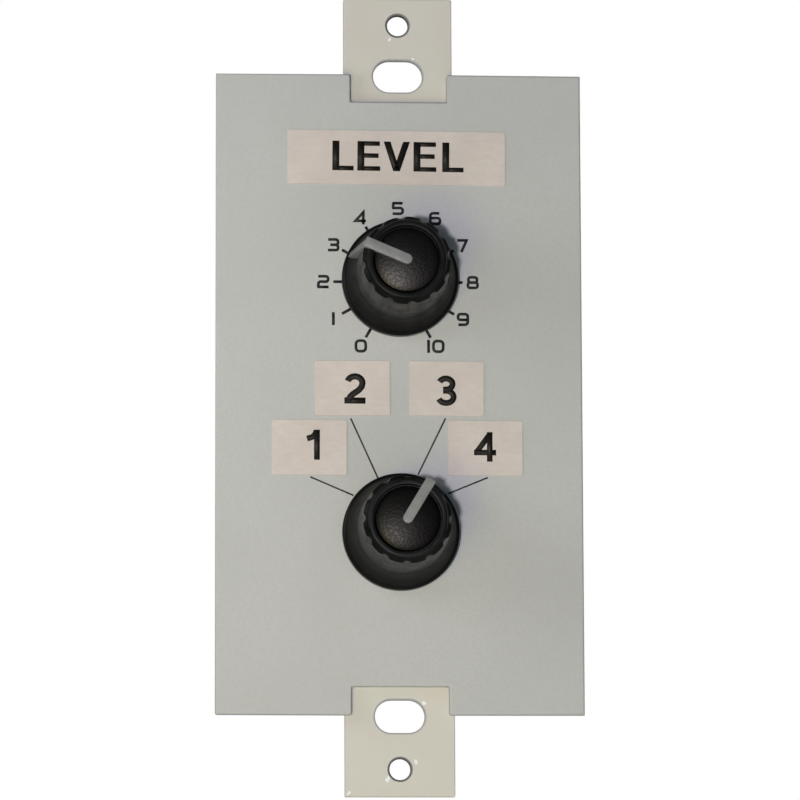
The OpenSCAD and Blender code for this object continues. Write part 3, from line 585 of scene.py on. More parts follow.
plain_finish("nylon", (222, 219, 208), (206, 202, 190), 2.0, (0.4, 0.52), 0.3, 0.006)
plain_finish("switch_plastic", (38, 38, 39), (26, 26, 27), 2.5, (0.4, 0.55), 0.2, 0.01)
plain_finish("board_laminate", (34, 92, 58), (24, 74, 46), 4.0, (0.28, 0.42), 0.9, 0.01)
plain_finish("board_trace", (52, 118, 72), (40, 100, 60), 3.0, (0.26, 0.38), 0.8, 0.006)
plain_finish("board_legend", (232, 232, 226), (214, 214, 206), 1.0, (0.5, 0.65), 0.2, 0.004)
plain_finish("block_plastic", (44, 116, 72), (34, 98, 60), 3.0, (0.36, 0.5), 0.25, 0.012)

NODES_OF_SLOT = {
    "panel_paint": ["front_panel"], "strap_paint": ["mounting_strap"], "resistance_ink": ["level_track"],
    "board_laminate": ["circuit_board"],
    "label_tape": ["level_label"] + [f"source_label_{number}" for number in range(1, 5)],
    "nylon": ["level_carrier", "source_carrier", "source_detent_hub", "source_detent_ring"],
    "phenolic": ["level_wafer", "source_wafer"],
    "switch_plastic": ["source_housing", "source_rear_cover"],
    "zinc_casting": ["level_bushing", "source_bushing"],
    "tinned_brass": ["level_pins", "source_contacts", "level_wiper", "source_wiper", "level_terminal_pins",
                     "source_terminal_pins"],
    "block_plastic": ["level_terminal_block", "source_terminal_block"],
    "knob_plastic": ["level_knob", "source_knob"],
    "cap_plastic": ["level_knob_cap", "source_knob_cap"],
    "pointer_plastic": ["level_knob_pointer", "source_knob_pointer"],
}
SLOT_OF_NODE = {node: slot for slot, nodes in NODES_OF_SLOT.items() for node in nodes}


def slot_of(node):
    """The slot of a drawn node; those not listed are plated steel."""
    return SLOT_OF_NODE.get(node, "plated_steel")


def paint_nodes():
    """Gives every drawn node the finish of its slot."""
    for name, node in frame["nodes"].items():
        for slot in node.material_slots:
            slot.link = "OBJECT"
            slot.material = FINISHES[slot_of(name)]


# Knobs

# Radii from the knob's axis and heights above its foot
KNOB_LEFT, KNOB_RIGHT = reach_of("level_knob")[0]
CAP_LEFT, CAP_RIGHT = reach_of("level_knob_cap")[0]
SKIRT_R = (KNOB_RIGHT - KNOB_LEFT) / 2
SHOULDER_R = SKIRT_R - 0.35
GRIP_R = SKIRT_R - 1.55
CROWN_R = SKIRT_R - 1.9
RING_R = SKIRT_R - 2.55
CAP_R = (CAP_RIGHT - CAP_LEFT) / 2
RECESS_R = CAP_R + 0.15
RIM_H = 1.7
FLARE_TOP = 4.4
FLARE_POWER = 1.35
RING_TOP = KNOB_FRONT - KNOB_FOOT
CROWN_H = RING_TOP - 0.9
LEDGE_H = CROWN_H + 0.5
RECESS_FLOOR = reach_of("level_knob_cap")[2][0] - KNOB_FOOT
CAP_DOME = 0.5
BORE_R, BORE_END = 3.03, 11.4
BUSHING_ROOM_R, BUSHING_ROOM_H = 3.9, 3.5
NUT_ROOM_R, NUT_ROOM_H = 6.17, 1.9
SCOOPS = 12
SCOOP_R = 0.88
SCOOP_DEPTH = 0.29
SCOOP_LEAN = math.tan(math.radians(4.0))
SCOOP_SOFT = 0.08
# Small roundings and steps of the section
BORE_TIP_R = 0.6
FOOT_CHAMFER = 0.1
RIM_ROUND = 0.3
RING_ROUND = 0.13
GROOVE_ROUND = 0.08
CROWN_ROUND = 0.12
CROWN_DROP = 0.15
TOP_INSET = 0.3
TOP_START = 0.13
TOP_RISE = 0.34
FLARE_STEPS = 48
GRIP_STEPS = 36
TOP_STEPS = 3


def quarter(centre_r, centre_z, radius, start, end, steps=5):
    """Points on a rounded edge of the section, between two angles."""
    return arc(centre_r, centre_z, radius, radius, start, end, steps)


def knob_section():
    """The knob's section, from the end of the bore, round the skirt, to the floor of the cap's recess."""
    section = [(BORE_TIP_R, BORE_END), (BORE_R, BORE_END), (BORE_R, BUSHING_ROOM_H)]
    section += [(BUSHING_ROOM_R, BUSHING_ROOM_H), (BUSHING_ROOM_R, NUT_ROOM_H), (NUT_ROOM_R, NUT_ROOM_H)]
    section += [(NUT_ROOM_R, FOOT_CHAMFER), (NUT_ROOM_R + FOOT_CHAMFER, 0.0)]
    section += quarter(SKIRT_R - RIM_ROUND, RIM_ROUND, RIM_ROUND, -90, 0)
    section += quarter(SKIRT_R - RIM_ROUND, RIM_H - RIM_ROUND, RIM_ROUND, 0, 80)
    for step in range(1, FLARE_STEPS + 1):
        share = (step / FLARE_STEPS) ** 0.7
        radius = GRIP_R + (SHOULDER_R - GRIP_R) * (1 - share) ** FLARE_POWER
        section.append((radius, RIM_H + 0.02 + (FLARE_TOP - RIM_H) * share))
    for step in range(1, GRIP_STEPS + 1):
        share = step / GRIP_STEPS
        radius = GRIP_R + (CROWN_R - GRIP_R) * share
        section.append((radius, FLARE_TOP + (CROWN_H - CROWN_DROP - FLARE_TOP) * share))
    section += quarter(CROWN_R - 0.13, CROWN_H - 0.1, CROWN_ROUND, 5, 45, 4)
    for step in range(1, TOP_STEPS + 1):
        share = step / TOP_STEPS
        radius = CROWN_R - TOP_INSET + (RING_R + 0.05 - CROWN_R + TOP_INSET) * share
        section.append((radius, CROWN_H + TOP_START + TOP_RISE * share))
    section.append((RING_R, LEDGE_H + 0.06))
    section += quarter(RING_R - RING_ROUND, RING_TOP - RING_ROUND, RING_ROUND, 0, 90)
    section += quarter(RECESS_R + GROOVE_ROUND, RING_TOP - GROOVE_ROUND, GROOVE_ROUND, 90, 180, 4)
    section += [(RECESS_R, RECESS_FLOOR), (1.0, RECESS_FLOOR)]
    return section


def press_scoops(knob):
    """Presses the finger scoops into the grip: leaning cylinders whose edges run softly into it."""
    for point in knob.data.vertices:
        radius = math.hypot(point.co.x, point.co.y)
        height = point.co.z
        if radius < RING_R + SAME_PLACE or not FLARE_TOP < height < LEDGE_H + 2 * SAME_PLACE:
            continue
        angle = math.degrees(math.atan2(point.co.x, point.co.y))
        pitch = 360 / SCOOPS
        off = math.radians((angle + pitch / 2) % pitch - pitch / 2)
        axis_r = CROWN_R - SCOOP_DEPTH + SCOOP_R + (CROWN_H - height) * SCOOP_LEAN
        across = axis_r * math.sin(off)
        if abs(across) >= SCOOP_R:
            continue
        scooped = axis_r * math.cos(off) - math.sqrt(SCOOP_R ** 2 - across ** 2)
        blend = max(0.0, min(1.0, 0.5 + (scooped - radius) / (2 * SCOOP_SOFT)))
        new_radius = scooped * (1 - blend) + radius * blend - SCOOP_SOFT * blend * (1 - blend)
        new_radius = max(RING_R, min(radius, new_radius))
        point.co.x *= new_radius / radius
        point.co.y *= new_radius / radius


def make_knob_body(name):
    """Skirted black body with its bore, scoops and the ring round the cap."""
    knob = turned(name, knob_section(), 288)
    press_scoops(knob)
    smooth_faces(knob, 50)
    return knob


def make_knob_cap(name):
    """Slightly domed cap let into the top."""
    section = [(CAP_R - 0.25, RECESS_FLOOR), (CAP_R, RECESS_FLOOR + 0.1)]
    section += quarter(CAP_R - 0.24, RING_TOP - CAP_DOME - 0.18, 0.2, 0, 70, 5)
    for step in range(1, 13):
        share = 0.93 * (1 - step / 12.6)
        section.append((CAP_R * share, RING_TOP - CAP_DOME * share ** 2))
    cap = turned(name, section, 96)
    smooth_faces(cap, 50)
    return cap


POINTER_W = 1.3
POINTER_TOP = reach_of("level_knob_pointer")[2][1] - KNOB_FOOT
POINTER_REACH = CROWN_R + 0.15
POINTER_FIN = 0.75
POINTER_TAPER = 0.5
POINTER_FOOT = (SHOULDER_R + 0.05, RIM_H + 0.6)
POINTER_EASE = 0.09


def make_pointer(name):
    """Light bar across half the top, with a fin down the grip to the skirt."""
    let_go()
    bpy.ops.mesh.primitive_cube_add(size=1.0, location=(0, 0, 0))
    pointer = bpy.context.object
    pointer.name = name
    inner = -POINTER_W / 2
    mode("EDIT")
    bpy.ops.mesh.select_all(action="SELECT")
    size = (POINTER_W, POINTER_REACH - inner, POINTER_TOP - RECESS_FLOOR)
    bpy.ops.transform.resize(value=size, center_override=(0, 0, 0))
    middle = (0.0, (POINTER_REACH + inner) / 2, (POINTER_TOP + RECESS_FLOOR) / 2)
    bpy.ops.transform.translate(value=middle)
    bpy.ops.mesh.bisect(plane_co=(0, POINTER_REACH - POINTER_FIN, 0), plane_no=(0, 1, 0))
    bpy.ops.mesh.select_all(action="DESELECT")
    mode("OBJECT")
    for face in pointer.data.polygons:
        face.select = face.normal.z < -0.9 and face.center.y > POINTER_REACH - POINTER_FIN
    mode("EDIT")
    bpy.ops.mesh.select_mode(type="FACE")
    drop = (0.0, POINTER_FOOT[0] - POINTER_REACH, POINTER_FOOT[1] - RECESS_FLOOR)
    bpy.ops.mesh.extrude_region_move(TRANSFORM_OT_translate={"value": drop})
    deeper = (POINTER_FOOT[0] - POINTER_REACH + POINTER_FIN) / POINTER_FIN
    bpy.ops.transform.resize(value=(POINTER_TAPER, deeper, 1.0), center_override=(0.0, *POINTER_FOOT))
    bpy.ops.mesh.select_all(action="DESELECT")
    bpy.ops.mesh.select_mode(type="EDGE")
    mode("OBJECT")
    corners = pointer.data.vertices
    for edge in pointer.data.edges:
        first, second = (corners[i].co for i in edge.vertices)
        edge.select = first.y < 0 and second.y < 0 and abs(first.z - second.z) > 0.5
    mode("EDIT")
    bpy.ops.mesh.bevel(offset=POINTER_W / 2 - SAME_PLACE, segments=8, affect="EDGES")
    mode("OBJECT")
    bevel = pointer.modifiers.new("eased edges", "BEVEL")
    bevel.width = POINTER_EASE
    bevel.segments = 3
    bevel.limit_method = "ANGLE"
    bevel.angle_limit = math.radians(40)
    bpy.ops.object.modifier_apply(modifier=bevel.name)
    smooth_faces(pointer, 40)
    return pointer


def make_knobs():
    """One knob of three pieces, and its twin."""
    body = make_knob_body("knob_form")
    cap = make_knob_cap("cap_form")
    pointer = make_pointer("pointer_form")
    for control, y, turn in (("level", LEVEL_Y, LEVEL_POINTS), ("source", SOURCE_Y, SOURCE_POINTS)):
        for form, part in ((body, "knob"), (cap, "knob_cap"), (pointer, "knob_pointer")):
            node = f"{control}_{part}"
            slot = slot_of(node)
            piece = copy_of(form, node + "_piece")
            set_in_place(piece, 0.0, y, KNOB_FOOT, turn)
            finish = "rubbed_cap_plastic" if node == "level_knob_cap" else slot
            fit_out(piece, f"{control}_control", slot, finish, node)
    for form in (body, cap, pointer):
        bpy.data.objects.remove(form)


# Panel, strap and print

INK_H = 0.02
# The panel's corner points are made one over this distance, so that its edges round off evenly
PANEL_CORNER = 0.2
PANEL_EASE = 0.28
STRAP_EASE = 0.18
TAPE_EASE = 0.04


def make_plates():
    """Panel and strap: rolled edges, sunk mouths at the tapped holes and rounded ones at the slots."""
    panel = whole_copy("front_panel", PANEL_CORNER)
    bevelled(panel, PANEL_EASE, 3, lambda point: True)
    smooth_flats(panel)
    fit_out(panel, "base", "panel_paint", "panel_paint", "front_panel")
    strap = whole_copy("mounting_strap")
    bevelled(strap, STRAP_EASE, 3, lambda point: off_middle(point, BOX_SLOT_Y) > SLOT_ROOM
             and off_middle(point, PLATE_HOLE_Y) > SINK_R)
    bevelled(strap, SLOT_ROUND, 4, lambda point: off_middle(point, BOX_SLOT_Y) < SLOT_ROOM)
    bevelled(strap, HOLE_SINK, 1, lambda point: off_middle(point, PLATE_HOLE_Y) < PLATE_HOLE_R + 0.05)
    smooth_flats(strap)
    fit_out(strap, "base", "strap_paint", "strap_paint", "mounting_strap")


# How far each tape is turned, in degrees
TAPE_TILTS = {
    "level_label": 0.35, "source_label_1": 0.3, "source_label_2": -0.2,
    "source_label_3": 0.3, "source_label_4": 0.2,
}


def make_tapes():
    """Label tapes, each stuck on a touch askew."""
    for node, tilt in TAPE_TILTS.items():
        piece = eased(node, TAPE_EASE)
        x, y = middle_of(node)
        middle = Matrix.Translation((x * MM, 0.0, y * MM))
        moved(piece, middle @ Matrix.Rotation(math.radians(tilt), 4, "Y") @ middle.inverted())
        fit_out(piece, "base", "label_tape", "label_tape", node)


DIAL_X = -0.15
DIAL_Y = LEVEL_Y - 0.14
DIAL_START, DIAL_STEP = -150, 30
TICK_IN = 7.1
TICK_OUT = 8.35
TICK_STROKE = 0.37
NUMBER_R = 9.65
NUMBER_STROKE = 0.36
NUMBER_SCALE = 1.05
# How far the two figures of the 10 stand left and right of its place
TEN_LEFT, TEN_RIGHT = 0.92, 0.34
LOW, MID, HIGH, SIDE = 0.14, 0.8, 1.46, 0.6

# Each dial figure: its paths, each with the rounding of its corners, and whether it is a loop
DIAL_FIGURES = {
    "0": [([(-SIDE, LOW), (SIDE, LOW), (SIDE, HIGH), (-SIDE, HIGH)], 0.5, True)],
    "1": [([(0.0, 0.0), (0.0, 1.6)], 0.0, False)],
    "2": [([(-0.62, HIGH), (SIDE, HIGH), (SIDE, MID), (-SIDE, MID), (-SIDE, LOW), (0.66, LOW)],
           [0, 0.33, 0.33, 0.33, 0.05, 0], False)],
    "3": [([(-0.62, HIGH), (SIDE, HIGH), (SIDE, MID), (-0.35, MID)], 0.33, False),
          ([(-0.35, MID), (SIDE, MID), (SIDE, LOW), (-0.64, LOW)], 0.33, False)],
    "4": [([(0.34, 0.0), (0.34, 1.5), (-0.62, 0.45), (0.66, 0.45)], 0.0, False)],
    "5": [([(0.6, HIGH), (-0.54, HIGH), (-0.58, 0.86), (SIDE, 0.86), (SIDE, LOW), (-0.64, LOW)],
           [0, 0.02, 0.02, 0.36, 0.36, 0], False)],
    "6": [([(0.52, HIGH), (-SIDE, HIGH), (-SIDE, LOW), (SIDE, LOW), (SIDE, 0.86), (-0.5, 0.86)],
           [0, 0.42, 0.36, 0.36, 0.36, 0], False)],
    "7": [([(-0.64, HIGH), (0.5, HIGH), (-0.14, 0.0)], 0.0, False)],
    "8": [([(-0.52, MID), (0.52, MID), (0.52, HIGH), (-0.52, HIGH)], 0.3, True),
          ([(-SIDE, LOW), (SIDE, LOW), (SIDE, MID), (-SIDE, MID)], 0.32, True)],
    "9": [([(-0.56, LOW), (SIDE, LOW), (SIDE, HIGH), (-SIDE, HIGH), (-SIDE, 0.74), (0.5, 0.74)],
           [0, 0.42, 0.36, 0.36, 0.36, 0], False)],
}


def layered(name, paths, width, closed=()):
    """Printed strokes that cross, each a hair lower than the one before, so that no faces coincide."""
    layers = []
    for number, path in enumerate(paths):
        loop = (0,) if number in closed else ()
        layers.append(strokes(f"{name}_{number}", [path], width, INK_H * (1 - 0.08 * number), loop))
    return joined(name, layers)


def dial_figure(name, figure, x, y):
    """One dial figure round the point x, y, its height centred there."""
    paths, loops = [], []
    for number, (corners, radii, loop) in enumerate(DIAL_FIGURES[figure]):
        path = bent_path(corners, radii, loop)
        paths.append([(point[0] * NUMBER_SCALE + x, (point[1] - MID) * NUMBER_SCALE + y)
                      for point in path])
        if loop:
            loops.append(number)
    return layered(name, paths, NUMBER_STROKE, loops)


def make_dial():
    """Eleven ticks round the level knob, numbered 0 to 10."""
    ticks, numbers = [], []
    for mark in range(11):
        angle = DIAL_START + DIAL_STEP * mark
        ticks.append([clock_place(angle, radius, DIAL_X, DIAL_Y) for radius in (TICK_IN, TICK_OUT)])
        x, y = clock_place(angle, NUMBER_R, DIAL_X, DIAL_Y)
        if mark == 10:
            numbers.append(dial_figure("figure_10_a", "1", x - TEN_LEFT, y))
            numbers.append(dial_figure("figure_10_b", "0", x + TEN_RIGHT, y))
        else:
            numbers.append(dial_figure(f"figure_{mark}", str(mark), x, y))
    dial = joined("dial_print", [strokes("ticks", ticks, TICK_STROKE, INK_H)] + numbers)
    set_in_place(dial, 0.0, 0.0, PANEL_FACE)
    fit_out(dial, "base", "panel_paint", "dial_ink")


LEADER_STROKE = 0.21
# Ends of the leader lines, from the source knob's axis
LEADERS = (
    ((-11.5, 7.3), (-5.95, 4.92)), ((-6.3, 14.9), (-2.83, 7.2)),
    ((5.9, 14.95), (2.33, 7.65)), ((11.3, 7.3), (6.2, 5.2)),
)


def make_leaders():
    """Thin printed lines from the source labels to the knob."""
    lines = strokes("leader_print", LEADERS, LEADER_STROKE, INK_H)
    set_in_place(lines, 0.0, SOURCE_Y, PANEL_FACE)
    fit_out(lines, "base", "panel_paint", "leader_ink")


# Height of the capitals, and the widths of their strokes
CAP_LETTER = 3.88
UPRIGHT = 0.9
BAR = 0.6
SLANT = 0.84
# How far the bars of each letter reach, from the lowest up, and the letters by their left edges
BARS_OF_L = (2.76,)
BARS_OF_E = (2.96, 2.74, 2.9)
LETTERS = ((0.0, BARS_OF_L), (3.24, BARS_OF_E), (10.51, BARS_OF_E), (14.24, BARS_OF_L))
# Left top, foot and right top of the V
V_LEFT, V_FOOT, V_RIGHT = 6.94, 8.32, 9.72
WORD_BELOW = 1.69
WORD_TILT = 0.55
FIGURE_TILT = 0.3


def make_level_word():
    """The word LEVEL on its tape, in plain block letters."""
    upright_lines, bars = [], []
    rows = (BAR / 2, CAP_LETTER * 0.515, CAP_LETTER - BAR / 2)
    for x, reaches in LETTERS:
        upright_lines.append([(x + UPRIGHT / 2, 0.0), (x + UPRIGHT / 2, CAP_LETTER)])
        for y, reach in zip(rows, reaches):
            bars.append([(x, y), (x + reach, y)])
    past = 0.4
    slants = [[(top, CAP_LETTER + past), (top + (V_FOOT - top) * 1.1, -past)] for top in (V_LEFT, V_RIGHT)]
    slant_lines = strokes("slants", slants, SLANT, INK_H * 0.8)
    take(slant_lines)
    mode("EDIT")
    for level, upwards in ((0.0, -1.0), (CAP_LETTER, 1.0)):
        bpy.ops.mesh.select_all(action="SELECT")
        bpy.ops.mesh.bisect(
            plane_co=(0, level, 0), plane_no=(0, upwards, 0), use_fill=True, clear_outer=True)
    mode("OBJECT")
    word = joined("level_word", [strokes("uprights", upright_lines, UPRIGHT, INK_H),
                                 strokes("bars", bars, BAR, INK_H * 0.9), slant_lines])
    x, y = middle_of("level_label")
    set_in_place(word, x - V_FOOT, y - WORD_BELOW, TAPE_FACE, WORD_TILT)
    fit_out(word, "base", "label_tape", "label_ink")


def figure_1():
    """Stem with a short flag."""
    flag = bent_path([(-0.78, 2.72), (0.1, 2.98), (0.42, 3.72)], 1.0)
    return layered("figure_1", [[(0.5, 0.0), (0.5, 3.88)], flag], 0.74)


def figure_2():
    """Bowl, slant and foot."""
    bowl = arc(0.0, 2.68, 0.96, 0.84, 165, -15) + bent_path(
        [(0.86, 2.2), (0.5, 1.72), (-0.45, 1.1), (-0.85, 0.45)], 0.6)
    return layered("figure_2", [bowl, [(-1.36, 0.38), (1.36, 0.38)]], 0.8)


def figure_3():
    """Two bowls."""
    upper = arc(-0.04, 2.81, 0.86, 0.72, 158, -90)
    lower = arc(-0.02, 1.14, 0.98, 0.8, 90, -160)
    return layered("figure_3", [[(-0.4, 2.09)] + upper[::-1], [(-0.4, 1.94)] + lower], 0.77)


def figure_4():
    """Stem, slant and crossbar."""
    stem = [(0.6, 0.0), (0.6, 3.83)]
    crossbar = [(-1.42, 1.17), (1.42, 1.17)]
    slant = [(-1.16, 1.12), (0.62, 3.58)]
    return layered("figure_4", [stem, crossbar, slant], 0.71)


# Each figure's foot, from the middle of its tape
LABEL_FIGURES = (
    (1, figure_1, 0.45, -1.6), (2, figure_2, 0.29, -2.0),
    (3, figure_3, -0.07, -2.22), (4, figure_4, -0.05, -1.75),
)


def make_label_figures():
    """The source numbers on their tapes."""
    for number, drawing, aside, above in LABEL_FIGURES:
        figure = drawing()
        figure.name = f"source_figure_{number}"
        x, y = middle_of(f"source_label_{number}")
        set_in_place(figure, x + aside, y + above, TAPE_FACE, FIGURE_TILT)
        fit_out(figure, "base", "label_tape", "label_ink")


# Works behind the panel

# How far the edges of each piece are rounded off
EASED_WORKS = {
    "level_can": 0.25, "source_housing": 0.2, "source_rear_cover": 0.15, "source_rivets": 0.2,
    "circuit_board": 0.08, "level_terminal_block": 0.2, "source_terminal_block": 0.2,
    "level_terminal_screws": 0.12, "source_terminal_screws": 0.12, "level_nut": 0.18, "source_nut": 0.18,
    "level_washer": 0.06, "source_washer": 0.06,
}


def make_works():
    """The larger pieces behind the panel with eased edges."""
    for node, ease in EASED_WORKS.items():
        slot = slot_of(node)
        fit_out(eased(node, ease), "base", slot, slot, node)


TERMINAL_PITCH = 5.0
PIN_R, OUTER_PIN_R, COMMON_PIN_R = 5.4, 6.2, 3.0
OUTER_PIN_ANGLE = 148
LEVEL_PINS = [
    clock_place(-OUTER_PIN_ANGLE, OUTER_PIN_R, 0.0, LEVEL_Y), clock_place(180, PIN_R, 0.0, LEVEL_Y),
    clock_place(OUTER_PIN_ANGLE, OUTER_PIN_R, 0.0, LEVEL_Y),
]
SOURCE_PINS = [clock_place(angle, PIN_R, 0.0, SOURCE_Y) for angle in (-54, -18, 18, 54)]
SOURCE_COMMON = clock_place(180, COMMON_PIN_R, 0.0, SOURCE_Y)
LEVEL_BLOCK_Y = middle_of("level_terminal_block")[1]
SOURCE_BLOCK_Y = middle_of("source_terminal_block")[1]
LEG_ASIDE = 3.0
LEVEL_LEGS = [(TERMINAL_PITCH * way, LEVEL_BLOCK_Y - LEG_ASIDE) for way in (-1, 0, 1)]
SOURCE_LEGS = [(TERMINAL_PITCH * way, SOURCE_BLOCK_Y + LEG_ASIDE) for way in (-2, -1, 0, 1, 2)]


def make_solder():
    """Solder cones round every pin, on the side of the board where its tail stands."""
    section = [(0.95, 0.0), (0.95, 0.05), (0.8, 0.12), (0.66, 0.28)]
    section += [(0.56, 0.48), (0.49, 0.7), (0.46, 0.74)]
    form = turned("solder_form", section, 28)
    smooth_faces(form, 60)
    on_back = (BOARD_BACK, 180, 1.0)
    on_front = (BOARD_FRONT, 0, 0.6)
    for name, places, (face, flip, height) in (
            ("level_pin_solder", LEVEL_PINS, on_back),
            ("source_pin_solder", SOURCE_PINS + [SOURCE_COMMON], on_back),
            ("level_leg_solder", LEVEL_LEGS, on_front),
            ("source_leg_solder", SOURCE_LEGS, on_front)):
        cones = []
        for x, y in places:
            cone = copy_of(form, name + "_cone")
            turn = Matrix.Rotation(math.radians(flip), 4, "X")
            size = Matrix.Diagonal((1.0, 1.0, height, 1.0))
            moved(cone, Matrix.Translation((x, y, face)) @ turn @ size)
            cones.append(cone)
        piece = joined(name, cones)
        set_in_place(piece)
        fit_out(piece, "base", "tinned_brass", "solder")
    bpy.data.objects.remove(form)


TRACK_W, TRACK_H, TRACK_BEND = 1.1, 0.05, 0.8
LEVEL_BEND_LOW, LEVEL_BEND_HIGH = 16.0, 18.5
SOURCE_BEND_OUTER, SOURCE_BEND_HIGH, SOURCE_BEND_LOW = -18.0, -17.5, -21.0
INNER_TRACK_X = 1.8
LEGEND_W, LEGEND_H = 0.2, 0.03
LEVEL_BLOCK_HALF, SOURCE_BLOCK_HALF = 7.9, 12.9
BLOCK_INNER, BLOCK_OUTER = 4.5, 4.4
LEGEND_R = 9.4


def make_traces():
    """Tracks under the green mask from each pin to its terminal, and printed outlines of the parts."""
    near, far = TERMINAL_PITCH, 2 * TERMINAL_PITCH
    tracks = [
        [LEVEL_PINS[0], (LEVEL_PINS[0][0], LEVEL_BEND_LOW), (-near, LEVEL_BEND_HIGH), LEVEL_LEGS[0]],
        [LEVEL_PINS[1], (0.0, LEVEL_BEND_LOW), LEVEL_LEGS[1]],
        [LEVEL_PINS[2], (LEVEL_PINS[2][0], LEVEL_BEND_LOW), (near, LEVEL_BEND_HIGH), LEVEL_LEGS[2]],
        [SOURCE_PINS[0], (-far, SOURCE_BEND_OUTER), SOURCE_LEGS[0]],
        [SOURCE_PINS[1], (-INNER_TRACK_X, SOURCE_BEND_HIGH), (-near, SOURCE_BEND_LOW), SOURCE_LEGS[1]],
        [SOURCE_COMMON, SOURCE_LEGS[2]],
        [SOURCE_PINS[2], (INNER_TRACK_X, SOURCE_BEND_HIGH), (near, SOURCE_BEND_LOW), SOURCE_LEGS[3]],
        [SOURCE_PINS[3], (far, SOURCE_BEND_OUTER), SOURCE_LEGS[4]],
    ]
    paths = [bent_path(track, TRACK_BEND) for track in tracks]
    piece = strokes("board_tracks", paths, TRACK_W, TRACK_H)
    set_in_place(piece, 0.0, 0.0, BOARD_BACK - TRACK_H)
    fit_out(piece, "base", "board_laminate", "board_trace")
    outlines = []
    for y, half, side in ((LEVEL_BLOCK_Y, LEVEL_BLOCK_HALF, 1), (SOURCE_BLOCK_Y, SOURCE_BLOCK_HALF, -1)):
        inner = y - side * BLOCK_INNER
        outer = y + side * BLOCK_OUTER
        outlines.append([(-half, outer), (-half, inner), (half, inner), (half, outer)])
    for y in (LEVEL_Y, SOURCE_Y):
        for start in (-60, 120):
            outlines.append([clock_place(start + turn, LEGEND_R, 0.0, y) for turn in range(0, 121, 5)])
    legend = strokes("board_legend_print", outlines, LEGEND_W, LEGEND_H)
    set_in_place(legend, 0.0, 0.0, BOARD_BACK - LEGEND_H)
    fit_out(legend, "base", "board_laminate", "board_legend")


# Studio

SENSOR_WIDTH = 36.0
PICTURE_WIDTH = 800.0
FLOOR_Z = -0.3


def set_camera():
    """The photograph's viewpoint: a little to the left of the panel and below it."""
    lean, swing, roll = -0.14688, 0.06158, -0.00545
    distance, per_mm = 647.85, 7.78334
    aside = Vector((-0.0542, 1.08276, 0.0))
    turn = Matrix.Rotation(roll, 3, "Z") @ Matrix.Rotation(swing, 3, "Y") @ Matrix.Rotation(lean, 3, "X")
    place = turn.transposed() @ (Vector((0.0, 0.0, distance)) - aside)
    place.z += PANEL_FACE
    stand = Matrix.Rotation(math.radians(90), 3, "X")
    camera_data = bpy.data.cameras.new("camera")
    camera_data.sensor_width = SENSOR_WIDTH
    camera_data.lens = per_mm * distance * SENSOR_WIDTH / PICTURE_WIDTH
    camera_data.clip_start = 0.02
    camera = linked("camera", camera_data)
    facing = (stand @ turn.transposed()).to_4x4()
    camera.matrix_world = Matrix.Translation(stand @ place * MM) @ facing
    bpy.context.scene.camera = camera


def add_lamp(name, towards, distance, size, power, colour=(1.0, 1.0, 1.0)):
    """A soft lamp that looks at the panel from a direction in the drawing's axes."""
    lamp_data = bpy.data.lights.new(name, "AREA")
    lamp_data.shape = "DISK"
    lamp_data.size = size
    lamp_data.energy = power
    lamp_data.color = colour
    lamp = linked(name, lamp_data)
    x, y, z = Vector(towards).normalized() * distance
    lamp.location = (x, -z, y)
    lamp.rotation_euler = Vector((x, -z, y)).to_track_quat("Z", "Y").to_euler()
    lamp.visible_camera = False
    return lamp


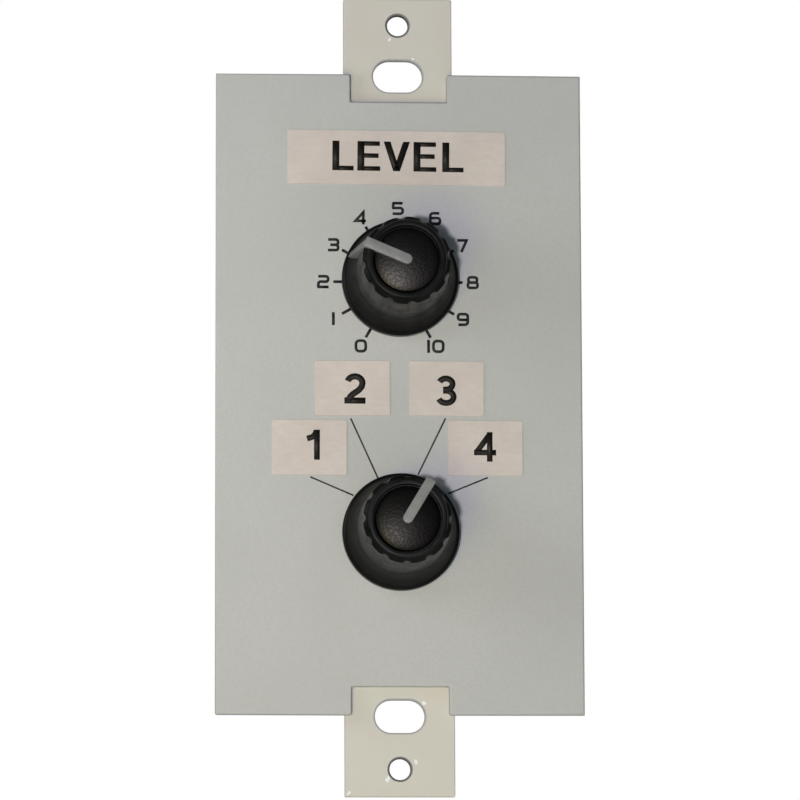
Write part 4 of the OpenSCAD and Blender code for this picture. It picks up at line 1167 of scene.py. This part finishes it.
def set_world():
    """White background behind the part, and a dim cool room around it."""
    world = bpy.data.worlds.new("studio")
    bpy.context.scene.world = world
    world.use_nodes = True
    tree = world.node_tree
    ground = tree.nodes["Background"]
    look = tree.nodes.new("ShaderNodeTexCoord").outputs["Generated"]
    behind = tree.nodes.new("ShaderNodeSeparateXYZ")
    tree.links.new(look, behind.inputs["Vector"])
    beyond = tree.nodes.new("ShaderNodeMapRange")
    beyond.inputs["From Min"].default_value = 0.1
    beyond.inputs["From Max"].default_value = 0.5
    tree.links.new(behind.outputs["Y"], beyond.inputs["Value"])
    rays = tree.nodes.new("ShaderNodeLightPath")
    mirrored = tree.nodes.new("ShaderNodeMath")
    mirrored.operation = "MULTIPLY"
    tree.links.new(rays.outputs["Is Glossy Ray"], mirrored.inputs[0])
    tree.links.new(beyond.outputs["Result"], mirrored.inputs[1])
    white = mirrored.outputs["Value"]
    for ray in ("Is Camera Ray", "Is Transmission Ray"):
        most = tree.nodes.new("ShaderNodeMath")
        most.operation = "MAXIMUM"
        tree.links.new(white, most.inputs[0])
        tree.links.new(rays.outputs[ray], most.inputs[1])
        white = most.outputs["Value"]
    mix = tree.nodes.new("ShaderNodeMix")
    mix.data_type = "RGBA"
    tree.links.new(white, mix.inputs["Factor"])
    mix.inputs["A"].default_value = (0.05, 0.075, 0.098, 1.0)
    mix.inputs["B"].default_value = (1.0, 1.0, 1.0, 1.0)
    tree.links.new(mix.outputs["Result"], ground.inputs["Color"])
    ground.inputs["Strength"].default_value = 1.0


def set_floor():
    """A plain pale floor well below the part."""
    let_go()
    bpy.ops.mesh.primitive_plane_add(size=6.0, location=(0.0, 0.0, FLOOR_Z))
    floor = bpy.context.object
    floor.name = "floor"
    bpy.ops.object.transform_apply(location=True)
    plain_finish("floor_paint", (238, 238, 236), (232, 232, 230), 120.0, (0.6, 0.75), 8.0, 0.05)
    floor.data.materials.append(FINISHES["floor_paint"])


def set_studio():
    """Camera, room, floor and lamps."""
    bpy.context.scene.view_settings.view_transform = "Standard"
    set_camera()
    set_world()
    set_floor()
    add_lamp("key", (-0.141, -0.157, 1.0), 0.644, 0.0243, 2.4, (0.89, 0.85, 1.0))
    add_lamp("soft", (-0.3, -0.3, 1.0), 0.35, 0.12, 0.18, (1.0, 1.0, 0.03))
    add_lamp("side", (-1.2, 0.2, 0.7), 0.13, 0.08, 0.047, (0.91, 0.87, 1.0))
    add_lamp("rear", (0.45, 0.6, -1.0), 0.8, 0.5, 5.0)


paint_nodes()
make_knobs()
make_plates()
make_tapes()
make_dial()
make_leaders()
make_level_word()
make_label_figures()
make_works()
make_solder()
make_traces()
set_studio()
